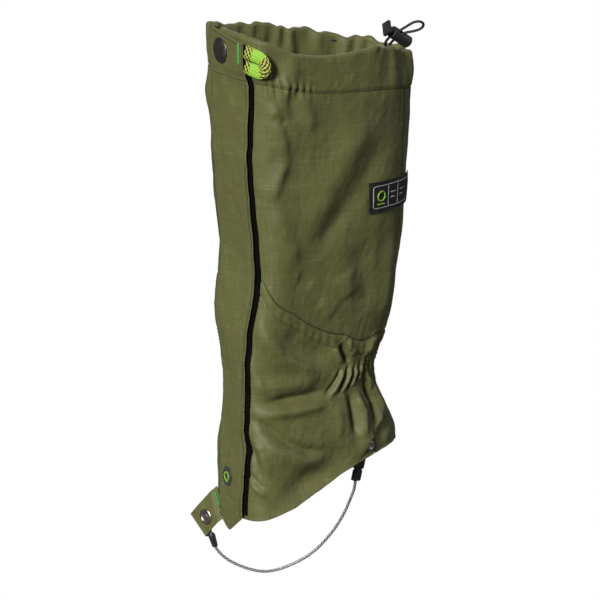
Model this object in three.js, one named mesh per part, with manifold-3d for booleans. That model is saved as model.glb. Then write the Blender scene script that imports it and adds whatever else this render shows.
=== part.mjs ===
// A hiking gaiter as it stands on the leg: a fabric tube that opens along its front, with a
// hook-and-loop flap, a drawcord and cord lock at the calf, an elastic ankle and a steel instep cable.
// Millimetres, +Z up. The leg's axis is the Z axis, the front of the shin faces -Y, and the outer
// side of the gaiter faces +X. Z = 0 is the lowest point of the body's hem, at the instep.
import * as THREE from 'three';
import Module from 'manifold-3d';
import { mergeVertices } from 'three/addons/utils/BufferGeometryUtils.js';

const wasm = await Module();
wasm.setup();

// ---------------------------------------------------------------- driving dimensions
const GAP = 0.3;                    // clearance between pieces that lie on each other
const CLOTH = 1.0;                  // coated body fabric
const LINING = 0.6;
const LINING_EASE = 0.7;            // slack between the layers of the body
const FRONT_POWER = 5;              // squareness of the section at the shin
const BACK_POWER = 2.2;             // and at the calf

// Level, half width across the leg, and depth behind the leg's axis.
const STATIONS = [
  { z: -20, side: 46, back: 80 },
  { z: 58, side: 47, back: 79 },
  { z: 86, side: 44, back: 70 },
  { z: 118, side: 40, back: 56 },
  { z: 146, side: 42, back: 68 },
  { z: 176, side: 45, back: 77 },
  { z: 215, side: 48, back: 83 },
  { z: 305, side: 51, back: 90 },
  { z: 440, side: 53, back: 96 },
];
const SHIN_DEPTH = 75.5;            // depth in front of the leg's axis at the hem
const SHIN_LEAN = 0.0105;           // and what it gains for each millimetre of height

const RIM_LEVEL = 412;              // calf rim on the leg's axis
const RIM_SLOPE = 0.185;            // the rim falls towards the back of the knee
const CASING_HEIGHT = 37;
const CASING_DEPTH = 6.6;           // two walls and the drawcord's channel
const HEM_FRONT = -62;              // the hem starts to rise here
const HEM_RUN = 142;
const HEM_RISE = 55;                // height of the hem at the heel
const SEAM_FRONT = 213;             // seam between the calf and ankle panels, at the flap
const SEAM_BACK = 151;

const FLAP_HALF_TOP = 30.5;
const FLAP_HALF_FOOT = 23.6;
const FLAP_TOP = RIM_LEVEL + 13.5;
const FLAP_TOP_SLOPE = 0.115;
const FLAP_TIP = -13;
const FLAP_TIP_SLOPE = 0.72;
const FLAP_TRIM_LEVEL = 19;         // below this the flap is trimmed back beside the cable tab
const FLAP_TRIM_SLOPE = 0.34;
const UNDERLAP = 17;                // how far the body runs under the flap past the middle
const TAPE_THICK = 1.0;
const TAPE_EASE = 0.6;              // between the body and the loop tape
const TAPE_FOOT = 5;
const TAPE_TOP = RIM_LEVEL - 15;
const LOOP_TAPE_SHOWS = 6.5;        // loop tape left uncovered beside the flap
const LOOP_TAPE_START = -14;
const HOOK_TAPE_START = -11.5;
const TAB_FOOT = RIM_LEVEL - 23;    // reinforcement on top of the flap
const TAB_INSET = 0.5;

const ELASTIC_FOOT = 108;
const ELASTIC_HEIGHT = 31;
const ELASTIC_THICK = 1.2;
const FACING_HEIGHT = 11;
const FACING_THICK = 0.7;

const PATCH = { from: 31, to: 76, foot: 260, top: 287, thick: 0.9, ease: 0.8 };
const BADGE = { x: -1.5, z: 34.5, radius: 9.6, thick: 0.9 };

const TOP_SNAP = { x: -3.4, z: RIM_LEVEL - 2, cap: 11.2, ring: 6, knob: 3.2, shank: 1.7 };
const FOOT_SNAP = { cap: 6.8, ring: 4.8, knob: 2.3, shank: 1.4 };
const RIVET = { angle: 38, z: 57, head: 4.4, shank: 1.5, back: 10.6 };

const CORD_RADIUS = 1.2;            // drawcord
const CORD_DROP = 7;                // drawcord below the rim
const CABLE_RADIUS = 1.3;           // instep cable
const BALL_RADIUS = 1.75;

const LEAF = 1.0;                   // cable tab webbing
const LEAF_SPACE = 4.0;             // room between its two leaves
const STRAP_WIDTH = 24.8;

const LOCK = { radius: 5.4, bore: 3.7, length: 22, floor: 1.5, plunger: 3.4, travel: 3.5 };
const LOOP_SIZE = { reach: 27, height: 26, slot: 1.3, thick: 4.6 };
const LOOP_TACK = { x: 26.8, z: RIM_LEVEL + 1, length: 18, width: 1.9, thick: 0.7 };

// ---------------------------------------------------------------- materials
const olive = { color: 0x666b3f, roughness: 0.85, metalness: 0 };
const black = { color: 0x17171a, roughness: 0.9, metalness: 0 };
const plastic = { color: 0x1b1b1e, roughness: 0.5, metalness: 0 };
const gunmetal = { color: 0x5a5350, roughness: 0.35, metalness: 1 };
const steel = { color: 0xb9bcc0, roughness: 0.3, metalness: 1 };
const neon = { color: 0xa6d433, roughness: 0.8, metalness: 0 };

const gaiter = new THREE.Group();

function place(name, geometry, look, parent = gaiter) {
  const mesh = new THREE.Mesh(geometry, new THREE.MeshStandardMaterial(look));
  mesh.name = name;
  parent.add(mesh);
  return mesh;
}

// ---------------------------------------------------------------- solids
function toManifold(geometry) {
  const bare = geometry.clone();
  bare.deleteAttribute('normal');
  bare.deleteAttribute('uv');
  const merged = mergeVertices(bare, 1e-4);
  const vertProperties = new Float32Array(merged.attributes.position.array);
  const triVerts = new Uint32Array(merged.index.array);
  return new wasm.Manifold(new wasm.Mesh({ numProp: 3, vertProperties, triVerts }));
}

function fromManifold(solid) {
  const mesh = solid.getMesh();
  const geometry = new THREE.BufferGeometry();
  geometry.setAttribute('position', new THREE.BufferAttribute(mesh.vertProperties, 3));
  geometry.setIndex(new THREE.BufferAttribute(mesh.triVerts, 1));
  geometry.computeVertexNormals();
  return geometry;
}

function cut(geometry, ...cutters) {
  let solid = toManifold(geometry);
  for (const cutter of cutters) solid = solid.subtract(toManifold(cutter));
  return fromManifold(solid);
}

function join(geometry, ...others) {
  let solid = toManifold(geometry);
  for (const other of others) solid = solid.add(toManifold(other));
  return fromManifold(solid);
}

// A frame whose local Z runs along `axis`, with local X as near to `across` as it can be.
function frameAt(origin, axis, across = new THREE.Vector3(0, 0, 1)) {
  const zAxis = axis.clone().normalize();
  const yAxis = new THREE.Vector3().crossVectors(zAxis, across).normalize();
  const xAxis = new THREE.Vector3().crossVectors(yAxis, zAxis);
  return new THREE.Matrix4().makeBasis(xAxis, yAxis, zAxis).setPosition(origin);
}

// A round piece turned about local Z: `profile` is radius and height in pairs.
function turned(profile, sides = 20) {
  const points = profile.map(([radius, height]) => new THREE.Vector2(radius, height));
  return new THREE.LatheGeometry(points, sides).rotateX(Math.PI / 2);
}

// A cylinder along local Z between two heights.
function rod(radius, low, high, sides = 20) {
  return turned([[0, low], [radius, low], [radius, high], [0, high]], sides);
}

// A closed sheet between two faces, each given as a function of a column and a row number.
function sheet(outer, inner, columns, rows) {
  const positions = [];
  const index = [];
  for (const face of [outer, inner]) {
    for (let j = 0; j <= rows; j++) {
      for (let i = 0; i <= columns; i++) positions.push(...face(i, j).toArray());
    }
  }
  const side = (columns + 1) * (rows + 1);
  const at = (face, i, j) => face * side + j * (columns + 1) + i;
  const quad = (a, b, c, d) => index.push(a, b, c, a, c, d);
  for (let j = 0; j < rows; j++) {
    for (let i = 0; i < columns; i++) {
      quad(at(0, i, j), at(0, i + 1, j), at(0, i + 1, j + 1), at(0, i, j + 1));
      quad(at(1, i, j), at(1, i, j + 1), at(1, i + 1, j + 1), at(1, i + 1, j));
    }
    quad(at(1, 0, j), at(0, 0, j), at(0, 0, j + 1), at(1, 0, j + 1));
    quad(at(0, columns, j), at(1, columns, j), at(1, columns, j + 1), at(0, columns, j + 1));
  }
  for (let i = 0; i < columns; i++) {
    quad(at(1, i, 0), at(1, i + 1, 0), at(0, i + 1, 0), at(0, i, 0));
    quad(at(0, i, rows), at(0, i + 1, rows), at(1, i + 1, rows), at(1, i, rows));
  }
  const geometry = new THREE.BufferGeometry();
  geometry.setAttribute('position', new THREE.Float32BufferAttribute(positions, 3));
  geometry.setIndex(index);
  geometry.computeVertexNormals();
  return geometry;
}

// ---------------------------------------------------------------- the body's surface
const mix = THREE.MathUtils.lerp;
const smooth = (value, low, high) => THREE.MathUtils.smoothstep(value, low, high);
const radians = THREE.MathUtils.degToRad;

// Side and back of the section at a level, on a curve that keeps each station's extreme.
function stationValue(z, key) {
  let k = 1;
  while (k < STATIONS.length - 1 && z > STATIONS[k].z) k++;
  const low = STATIONS[k - 1];
  const high = STATIONS[k];
  const slope = (m) => {
    if (m === 0 || m === STATIONS.length - 1) return 0;
    const before = (STATIONS[m][key] - STATIONS[m - 1][key]) / (STATIONS[m].z - STATIONS[m - 1].z);
    const after = (STATIONS[m + 1][key] - STATIONS[m][key]) / (STATIONS[m + 1].z - STATIONS[m].z);
    return before * after > 0 ? (2 * before * after) / (before + after) : 0;
  };
  const run = high.z - low.z;
  const f = THREE.MathUtils.clamp((z - low.z) / run, 0, 1);
  const f2 = f * f;
  const f3 = f2 * f;
  return (2 * f3 - 3 * f2 + 1) * low[key] + (f3 - 2 * f2 + f) * run * slope(k - 1)
    + (3 * f2 - 2 * f3) * high[key] + (f3 - f2) * run * slope(k);
}

const shinDepth = (z) => SHIN_DEPTH + SHIN_LEAN * Math.max(z, 0);
const flapHalf = (z) => mix(FLAP_HALF_FOOT, FLAP_HALF_TOP, THREE.MathUtils.clamp(z / FLAP_TOP, 0, 1));

// The section at a level, as a radius for each direction from the leg's axis.
function sectionPoint(theta, z) {
  const c = Math.cos(theta);
  const s = Math.sin(theta);
  const power = s < 0 ? FRONT_POWER : BACK_POWER;
  const depth = s < 0 ? shinDepth(z) : stationValue(z, 'back');
  const side = stationValue(z, 'side');
  const sum = Math.abs(c / side) ** power + Math.abs(s / depth) ** power;
  const radius = sum ** (-1 / power);
  return new THREE.Vector3(radius * c, radius * s, z);
}

function sectionNormal(theta, z) {
  const step = 0.004;
  const ahead = sectionPoint(theta + step, z);
  const behind = sectionPoint(theta - step, z);
  return new THREE.Vector3(ahead.y - behind.y, behind.x - ahead.x, 0).normalize();
}

const skin = (theta, z, offset) => sectionPoint(theta, z).addScaledVector(sectionNormal(theta, z), offset);

// Direction of the point of the shin at x.
function thetaAt(x, z) {
  const y = shinDepth(z) * (1 - Math.abs(x / stationValue(z, 'side')) ** FRONT_POWER) ** (1 / FRONT_POWER);
  return Math.atan2(-y, x);
}

const shin = (x, z, offset) => skin(thetaAt(x, z), z, offset);

// Edges of the body. Angles run from the underlap, round the outer side and the back, to the flap.
const nearEdge = (z) => thetaAt(-UNDERLAP, z);
const farEdge = (z) => thetaAt(-flapHalf(z) - 2 * GAP, z) + 2 * Math.PI;
const backSeam = (z) => radians(mix(44, 66, smooth(z, 108, 182)));
const rimAt = (theta, z) => RIM_LEVEL - RIM_SLOPE * sectionPoint(theta, z).y;
const rim = (theta) => rimAt(theta, RIM_LEVEL);
const casingFoot = (theta) => rim(theta) - CASING_HEIGHT;

function hem(theta) {
  const y = sectionPoint(theta, 0).y;
  const run = THREE.MathUtils.clamp((y - HEM_FRONT) / HEM_RUN, 0, 1);
  return HEM_RISE * Math.sin((run * Math.PI) / 2);
}

// Seam between the calf and ankle panels: high at the flap, level from the sides to the back.
function panelSeam(theta) {
  const fromBack = Math.abs(theta - Math.PI / 2);
  const rise = THREE.MathUtils.clamp((fromBack - radians(74)) / radians(96), 0, 1);
  return mix(SEAM_BACK, SEAM_FRONT, rise ** 1.5);
}

// Grid lines that every layer of the body shares, so that their facets lie on each other:
// angles are close together at the two corners of the shin, levels at the ankle.
const COLUMNS = [
  -80, -68, -61, -55, -49, -40, -26, -10, 8, 22, 34, 45, 56, 67,
  78, 89, 100, 111, 123, 135, 147, 159, 172, 188, 206, 220, 229, 235, 241,
].map(radians);
const LEVELS = [58, 74, 88, 98, 108, 118, 128, 139, 150, 178, 210, 250, 300, 345];

// Lines from `first` to `last`: the shared ones wholly between them, and even steps up to those.
function gridLines(first, last, shared, tries, reach) {
  const low = Math.max(...tries.map(first));
  const high = Math.min(...tries.map(last));
  const inner = shared.filter((value) => value > low + reach / 4 && value < high - reach / 4);
  const lines = [first];
  const fill = (from, to) => {
    const widest = Math.max(...tries.map((at) => to(at) - from(at)));
    const steps = Math.max(1, Math.ceil(widest / reach));
    for (let k = 1; k < steps; k++) lines.push((at) => mix(from(at), to(at), k / steps));
    lines.push(to);
  };
  let before = first;
  for (const value of inner) {
    const line = () => value;
    if (before === first) fill(first, line);
    else lines.push(line);
    before = line;
  }
  fill(before, last);
  return lines;
}

const evenly = (low, high, count) => Array.from({ length: count + 1 }, (_, k) => mix(low, high, k / count));

// A sheet on the body between two edge lines in angle and two in height.
function bodySheet({ left, right, foot, top, offset, thick }) {
  const columns = gridLines(left, right, COLUMNS, evenly(0, RIM_LEVEL, 40), radians(12));
  const rows = gridLines(foot, top, LEVELS, evenly(radians(-105), radians(255), 60), 34);
  const face = (depth) => (i, j) => {
    let z = rows[j](0);
    let theta = 0;
    for (let pass = 0; pass < 6; pass++) {
      theta = columns[i](z);
      z = rows[j](theta);
    }
    return skin(theta, z, depth);
  };
  return sheet(face(offset), face(offset - thick), columns.length - 1, rows.length - 1);
}

// A sheet on the shin, between two lines in x and two in height.
const SHIN_LEVELS = [20, 58, 88, 108, 118, 128, 150, 178, 210, 250, 300, 345, TAB_FOOT];

function shinSheet({ left, right, foot, top, offset, thick }) {
  const columns = gridLines(left, right, [], evenly(0, FLAP_TOP, 20), 6);
  const rows = gridLines(foot, top, SHIN_LEVELS, evenly(-FLAP_HALF_TOP, FLAP_HALF_TOP, 12), 40);
  const face = (depth) => (i, j) => {
    let z = rows[j](0);
    let x = 0;
    for (let pass = 0; pass < 6; pass++) {
      x = columns[i](z);
      z = rows[j](x);
    }
    return shin(x, z, offset(x, z) + depth);
  };
  return sheet(face(0), face(-thick), columns.length - 1, rows.length - 1);
}

// ---------------------------------------------------------------- rivet hole, shared by the hem's layers
const rivetAngle = radians(RIVET.angle);
const rivetPoint = sectionPoint(rivetAngle, RIVET.z);
const rivetAxis = sectionNormal(rivetAngle, RIVET.z);
const rivetFrame = frameAt(rivetPoint, rivetAxis);
const rivetHole = rod(RIVET.shank + GAP, -6, 4, 12).applyMatrix4(rivetFrame);

// ---------------------------------------------------------------- body panels
const seamAngle = 0.0035;           // half the seam's opening, as an angle

function buildPanels() {
  const near = { left: nearEdge, right: (z) => backSeam(z) - seamAngle };
  const far = { left: (z) => backSeam(z) + seamAngle, right: farEdge };
  const upper = { foot: (a) => panelSeam(a) + GAP / 2, top: (a) => casingFoot(a) - GAP };
  const lower = { foot: hem, top: (a) => panelSeam(a) - GAP / 2 };
  const cloth = { offset: 0, thick: CLOTH };
  place('upper_outer_panel', bodySheet({ ...near, ...upper, ...cloth }), olive);
  place('upper_inner_panel', bodySheet({ ...far, ...upper, ...cloth }), olive);
  const outerFoot = bodySheet({ ...near, ...lower, ...cloth });
  place('lower_outer_panel', cut(outerFoot, rivetHole), olive);
  place('lower_inner_panel', bodySheet({ ...far, ...lower, ...cloth }), olive);
}

function buildInside() {
  const depth = CLOTH + LINING_EASE;
  const around = { left: nearEdge, right: farEdge };
  const lining = bodySheet({
    ...around, foot: (a) => hem(a) + 2, top: (a) => casingFoot(a) - GAP,
    offset: -depth, thick: LINING,
  });
  place('lining', cut(lining, rivetHole), black);
  const inner = depth + LINING + LINING_EASE;
  const facing = bodySheet({
    ...around, foot: hem, top: (a) => hem(a) + FACING_HEIGHT,
    offset: -inner, thick: FACING_THICK,
  });
  place('hem_facing', cut(facing, rivetHole), olive);
  place('ankle_elastic', bodySheet({
    left: () => radians(-25), right: () => radians(205),
    foot: () => ELASTIC_FOOT, top: () => ELASTIC_FOOT + ELASTIC_HEIGHT,
    offset: -inner - GAP, thick: ELASTIC_THICK,
  }), black);
}

// ---------------------------------------------------------------- calf casing and drawcord
// The casing's section is a flat tunnel, open at both ends beside the flap.
function casingGeometry() {
  const lines = gridLines(nearEdge, farEdge, COLUMNS, [RIM_LEVEL], radians(17));
  const columns = lines.length - 1;
  const outline = [
    [0, 0], [0, -CASING_HEIGHT], [-CASING_DEPTH, -CASING_HEIGHT], [-CASING_DEPTH, 0],
  ];
  const hollow = [
    [-CLOTH, -CLOTH], [-CLOTH, CLOTH - CASING_HEIGHT],
    [CLOTH - CASING_DEPTH, CLOTH - CASING_HEIGHT], [CLOTH - CASING_DEPTH, -CLOTH],
  ];
  const positions = [];
  const index = [];
  const corners = [...outline, ...hollow];
  for (let i = 0; i <= columns; i++) {
    for (const [offset, drop] of corners) {
      const z = rim(lines[i](RIM_LEVEL)) + drop;
      const theta = lines[i](z);
      positions.push(...skin(theta, z, offset).toArray());
    }
  }
  const quad = (a, b, c, d) => index.push(a, b, c, a, c, d);
  const count = corners.length;
  for (let i = 0; i < columns; i++) {
    for (let k = 0; k < 4; k++) {
      const next = (k + 1) % 4;
      quad(i * count + next, (i + 1) * count + next, (i + 1) * count + k, i * count + k);
      const [p, q] = [4 + k, 4 + next];
      quad(i * count + p, (i + 1) * count + p, (i + 1) * count + q, i * count + q);
    }
  }
  const last = columns * count;
  for (let k = 0; k < 4; k++) {
    const next = (k + 1) % 4;
    quad(k, 4 + k, 4 + next, next);
    quad(last + next, last + 4 + next, last + 4 + k, last + k);
  }
  const geometry = new THREE.BufferGeometry();
  geometry.setAttribute('position', new THREE.Float32BufferAttribute(positions, 3));
  geometry.setIndex(index);
  return geometry;
}

// The cord lock stands on the rim at the back. `lockAxis` runs from its button to its closed end.
const lockAxis = new THREE.Vector3(-0.088, 0.824, -0.561).normalize();
const cordAxis = new THREE.Vector3(0.68, 0.46, 0.571).normalize();
const lockMouth = new THREE.Vector3(23.9, 66.9, RIM_LEVEL + 2.6);
const strandNear = 4.4;             // places of the two strands along the lock
const strandFar = 9.8;
const onLock = (along, across) => lockMouth.clone()
  .addScaledVector(lockAxis, along).addScaledVector(cordAxis, across);

const aboutRim = (x, y, rise) => new THREE.Vector3(x, y, RIM_LEVEL + rise);
const inChannel = (degrees) => {
  const theta = radians(degrees);
  const level = rim(theta) - CORD_DROP;
  return skin(theta, level, -CASING_DEPTH / 2);
};
const EXIT_NEAR = 72;               // where the drawcord leaves the casing, as angles round the leg
const EXIT_FAR = 90;

// The drawcord's route: sewn in at the flap, round the outer side, out at the back, through the
// lock, round its loop, back through the lock and round the inner side.
function drawcordRoute() {
  const points = [];
  for (const degrees of [-68, -61, -55, -49, -40, -26, -10, 8, 24, 38, 52, 62]) points.push(inChannel(degrees));
  points.push(inChannel(EXIT_NEAR - 3));
  points.push(aboutRim(22.5, 76.5, -20.5));
  points.push(aboutRim(17.5, 69.5, -15.5));
  points.push(aboutRim(16.4, 65.6, -8));
  for (const across of [-6, 0, 6]) points.push(onLock(strandNear, across));
  points.push(aboutRim(33.2, 79.5, 10.6));
  points.push(aboutRim(36.6, 84.2, 12.6));
  points.push(aboutRim(38.0, 88.4, 9.4));
  points.push(aboutRim(36.4, 88.0, 4.8));
  points.push(aboutRim(32.2, 83.6, 1.6));
  for (const across of [6, 0, -6]) points.push(onLock(strandFar, across));
  points.push(aboutRim(13.0, 70.4, -13));
  points.push(aboutRim(8.0, 76.6, -20));
  points.push(aboutRim(1.5, 84.4, -23.6));
  for (const degrees of [EXIT_FAR + 8, 112, 128, 144, 158, 172, 188, 206, 220, 229, 235, 241]) {
    points.push(inChannel(degrees));
  }
  return new THREE.CatmullRomCurve3(points, false, 'centripetal');
}

function circleShape(radius, sides) {
  const shape = new THREE.Shape();
  for (let k = 0; k < sides; k++) {
    const turn = (2 * Math.PI * k) / sides;
    if (k === 0) shape.moveTo(radius, 0);
    else shape.lineTo(radius * Math.cos(turn), radius * Math.sin(turn));
  }
  shape.closePath();
  return shape;
}

const tube = (route, radius, steps) => new THREE.ExtrudeGeometry(
  circleShape(radius, 8),
  { steps, extrudePath: route, bevelEnabled: false },
);

function buildCasing() {
  const mouth = (degrees, width) => {
    const theta = radians(degrees);
    const at = frameAt(skin(theta, rim(theta) - CORD_DROP, -CASING_DEPTH - 1), sectionNormal(theta, RIM_LEVEL));
    return new THREE.BoxGeometry(9, width, 7.6).applyMatrix4(at);
  };
  const snapAt = frameAt(shin(TOP_SNAP.x, TOP_SNAP.z, 0), shinNormal(TOP_SNAP.x, TOP_SNAP.z));
  const snapHole = rod(TOP_SNAP.shank + GAP, -2, 2, 12).applyMatrix4(snapAt);
  place('top_casing', cut(casingGeometry(), mouth(EXIT_NEAR, 15), mouth(EXIT_FAR, 17), snapHole), olive);
  place('drawcord', tube(drawcordRoute(), CORD_RADIUS, 80), black);
}

// ---------------------------------------------------------------- cord lock
function buildCordLock() {
  const frame = frameAt(lockMouth, lockAxis, cordAxis);
  const slot = (low, high, radius) => {
    const middle = (low + high) / 2;
    const core = new THREE.BoxGeometry(30, 2 * radius, high - low - 2 * radius).translate(0, 0, middle);
    const end = (z) => rod(radius, -15, 15, 12).rotateY(Math.PI / 2).translate(0, 0, z);
    return join(core, end(low + radius), end(high - radius));
  };
  const slotRadius = CORD_RADIUS + 0.45;
  const low = strandNear - slotRadius;
  const high = strandFar + slotRadius;
  const round = 1.2;
  const shell = turned([
    [LOCK.bore, 0], [LOCK.radius - 0.5, 0], [LOCK.radius, 0.6], [LOCK.radius, LOCK.length - round],
    [LOCK.radius - round, LOCK.length], [0, LOCK.length],
    [0, LOCK.length - LOCK.floor], [LOCK.bore, LOCK.length - LOCK.floor], [LOCK.bore, 0],
  ], 20);
  place('cord_lock_barrel', cut(shell, slot(low, high, slotRadius)).applyMatrix4(frame), plastic);

  const end = 16;                   // inner end of the plunger
  const recess = 2.6;               // radius of the recess that takes the spring
  const stem = turned([
    [0, -5], [LOCK.plunger, -5], [LOCK.plunger, end], [recess, end], [recess, end - 3.4], [0, end - 3.4],
  ], 20);
  const button = new THREE.BoxGeometry(7.6, 13, 2.6).translate(0, 0, -6.1);
  const plunger = cut(join(stem, button), slot(low - LOCK.travel, high, slotRadius));
  place('cord_lock_plunger', plunger.applyMatrix4(frame), plastic);

  const turns = 2;
  const wire = 0.45;
  const from = end + GAP + wire;
  const to = LOCK.length - LOCK.floor - GAP - wire;
  const coil = [];
  for (let k = 0; k <= turns * 10; k++) {
    const turn = (2 * Math.PI * k) / 10;
    coil.push(new THREE.Vector3(1.8 * Math.cos(turn), 1.8 * Math.sin(turn), mix(from, to, k / (turns * 10))));
  }
  const spring = new THREE.ExtrudeGeometry(circleShape(wire, 6), {
    steps: turns * 12, extrudePath: new THREE.CatmullRomCurve3(coil), bevelEnabled: false,
  });
  place('cord_lock_spring', spring.applyMatrix4(frame), steel);
}

// ---------------------------------------------------------------- closure: tapes, flap, snap
function shinNormal(x, z) {
  return sectionNormal(thetaAt(x, z), z);
}

const loopFace = TAPE_EASE + TAPE_THICK;              // outer face of the loop tape
const hookFace = loopFace + GAP + TAPE_THICK;   // outer face of the hook tape
const flapBack = hookFace + GAP;
const flapFace = flapBack + CLOTH;
const tabFace = flapFace + GAP + CLOTH;

const flapLeft = (z) => -flapHalf(z) + FLAP_TRIM_SLOPE * Math.max(FLAP_TRIM_LEVEL - z, 0);
const flapFoot = (x) => FLAP_TIP + FLAP_TIP_SLOPE * (Math.hypot(x, 3) - 3);
const flapTop = (x) => FLAP_TOP - FLAP_TOP_SLOPE * x;

// The flap starts on the inner panel's edge and climbs over the tapes.
const flapRise = (x, z) => flapFace - (flapBack - GAP) * (1 - smooth(x + flapHalf(z), 0, 9));

function buildClosure() {
  const flat = (value) => () => value;
  place('loop_tape', shinSheet({
    left: flat(LOOP_TAPE_START), right: (z) => flapHalf(z) + LOOP_TAPE_SHOWS,
    foot: flat(TAPE_FOOT), top: flat(TAPE_TOP),
    offset: flat(loopFace), thick: TAPE_THICK,
  }), black);
  place('hook_tape', shinSheet({
    left: flat(HOOK_TAPE_START), right: (z) => flapHalf(z) - 2,
    foot: flat(TAPE_FOOT + 2), top: flat(TAPE_TOP),
    offset: flat(hookFace), thick: TAPE_THICK,
  }), black);

  const flap = shinSheet({
    left: flapLeft, right: flapHalf, foot: flapFoot, top: flapTop,
    offset: flapRise, thick: CLOTH,
  });
  const tab = shinSheet({
    left: (z) => -flapHalf(z) + TAB_INSET, right: (z) => flapHalf(z) - TAB_INSET,
    foot: flat(TAB_FOOT), top: (x) => flapTop(x) - TAB_INSET,
    offset: (x, z) => flapRise(x, z) + GAP + CLOTH, thick: CLOTH,
  });
  const axis = shinNormal(TOP_SNAP.x, TOP_SNAP.z);
  const snapAt = frameAt(shin(TOP_SNAP.x, TOP_SNAP.z, 0), axis);
  const hole = rod(TOP_SNAP.shank + GAP, 0, 9, 12).applyMatrix4(snapAt);
  place('front_flap', cut(flap, hole), olive);
  place('flap_top_tab', cut(tab, hole), olive);
  buildSnap('top_snap', TOP_SNAP, snapAt, {
    capSeat: tabFace + GAP, ring: [flapBack - GAP - 0.9, flapBack - GAP],
    stud: [GAP, GAP + 0.9], knob: flapBack - GAP, post: [-CLOTH - GAP - 0.8, -CLOTH - GAP],
    shankFoot: flapBack, postTip: -0.05,
  });

  const badgeFace = flapFace + GAP;
  const badge = new THREE.Shape();
  for (let k = 0; k < 6; k++) {
    const turn = radians(60 * k + 30);
    const corner = [BADGE.radius * Math.cos(turn), BADGE.radius * 0.9 * Math.sin(turn)];
    if (k === 0) badge.moveTo(...corner);
    else badge.lineTo(...corner);
  }
  badge.closePath();
  const badgeAt = frameAt(shin(BADGE.x, BADGE.z, badgeFace), shinNormal(BADGE.x, BADGE.z));
  const plate = new THREE.ExtrudeGeometry(badge, { depth: BADGE.thick, bevelEnabled: false });
  place('flap_badge', plate.applyMatrix4(badgeAt), black);

  const { x, z, length, width, thick } = LOOP_TACK;
  const tackAt = frameAt(shin(x, z, tabFace + GAP), shinNormal(x, z));
  const tack = new THREE.BoxGeometry(length, width, thick).translate(0, 0, thick / 2);
  place('pull_loop_bartack', tack.applyMatrix4(tackAt), neon);
  place('woven_patch', bodySheet({
    left: () => radians(PATCH.from), right: () => radians(PATCH.to),
    foot: () => PATCH.foot, top: () => PATCH.top,
    offset: PATCH.ease + PATCH.thick, thick: PATCH.thick,
  }), black);
}

// A press snap in four parts. Heights are along its axis from the face that it is set on.
function buildSnap(name, size, frame, level) {
  const dome = size.cap * 0.2;
  const cap = turned([
    [0, level.shankFoot], [size.shank, level.shankFoot], [size.shank, level.capSeat],
    [size.cap - 0.6, level.capSeat], [size.cap, level.capSeat + 0.5],
    [size.cap * 0.94, level.capSeat + 0.35 * dome + 0.5], [size.cap * 0.7, level.capSeat + dome],
    [size.cap * 0.35, level.capSeat + dome + 0.25], [0, level.capSeat + dome + 0.3],
  ], 28);
  place(`${name}_cap`, cap.applyMatrix4(frame), gunmetal);
  const [ringLow, ringHigh] = level.ring;
  const inner = size.knob + 0.4;
  const socket = turned([
    [inner, ringLow], [size.ring, ringLow], [size.ring, ringHigh], [inner, ringHigh], [inner, ringLow],
  ], 20);
  place(`${name}_socket`, socket.applyMatrix4(frame), gunmetal);
  const [studLow, studHigh] = level.stud;
  const neck = mix(studHigh, level.knob, 0.35);
  const stud = turned([
    [0, studLow], [size.ring, studLow], [size.ring, studHigh], [size.knob - 0.4, studHigh],
    [size.knob - 0.4, neck], [size.knob, mix(neck, level.knob, 0.5)], [size.knob - 0.6, level.knob], [0, level.knob],
  ], 20);
  place(`${name}_stud`, stud.applyMatrix4(frame), gunmetal);
  const [postLow, postHigh] = level.post;
  const post = turned([
    [0, postLow], [size.ring - 0.8, postLow], [size.ring - 0.8, postHigh],
    [size.shank, postHigh], [size.shank, level.postTip], [0, level.postTip],
  ], 20);
  place(`${name}_post`, post.applyMatrix4(frame), gunmetal);
}

// The pull loop: a flat tubular braid bent back on itself, sewn to the flap's free edge.
const loopRoot = new THREE.Vector3(32.9, -86.4, RIM_LEVEL - 3);
const loopReach = new THREE.Vector3(0.82, 0.572, 0).normalize();

function buildPullLoop() {
  const { reach, height, slot, thick } = LOOP_SIZE;
  const radius = height / 2;
  const shape = new THREE.Shape();
  shape.moveTo(0, -radius);
  shape.lineTo(reach - radius, -radius);
  shape.absarc(reach - radius, 0, radius, -Math.PI / 2, Math.PI / 2, false);
  shape.lineTo(0, radius);
  shape.closePath();
  const gap = new THREE.Path();
  gap.moveTo(3, -slot);
  gap.absarc(reach - radius, 0, slot, -Math.PI / 2, Math.PI / 2, false);
  gap.lineTo(3, slot);
  gap.closePath();
  shape.holes.push(gap);
  const band = new THREE.ExtrudeGeometry(shape, { depth: thick, bevelEnabled: false, curveSegments: 8 });
  band.translate(0, 0, -thick / 2);
  const face = new THREE.Vector3().crossVectors(loopReach, new THREE.Vector3(0, 0, 1));
  place('pull_loop', band.applyMatrix4(frameAt(loopRoot, face, loopReach)), neon);
}

// ---------------------------------------------------------------- cable tab
// The tab stands in an upright plane at the flap's inner edge. Its own X runs along the plane,
// Y is up and Z points out of it. The webbing runs down at 45 degrees and folds at its end.
const tabOrigin = new THREE.Vector3(-24.9, -81.6, 0);
const tabOut = new THREE.Vector3(0.3, -0.954, 0).normalize();
const tabAlong = new THREE.Vector3(0.954, 0.3, 0).normalize();
const tabFrame = new THREE.Matrix4().makeBasis(tabAlong, new THREE.Vector3(0, 0, 1), tabOut)
  .setPosition(tabOrigin);
const foldTop = new THREE.Vector2(-27.3, -9);
const across45 = new THREE.Vector2(0.723, -0.691);    // along the fold
const up45 = new THREE.Vector2(0.691, 0.723);         // from the fold up the webbing
const foldFoot = foldTop.clone().addScaledVector(across45, STRAP_WIDTH);
const snapSpot = new THREE.Vector2(-8.6, -8.4);
const foldRadius = LEAF_SPACE / 2 + LEAF;
const onTab = (point, depth) => new THREE.Vector3(point.x, point.y, depth).applyMatrix4(tabFrame);

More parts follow.
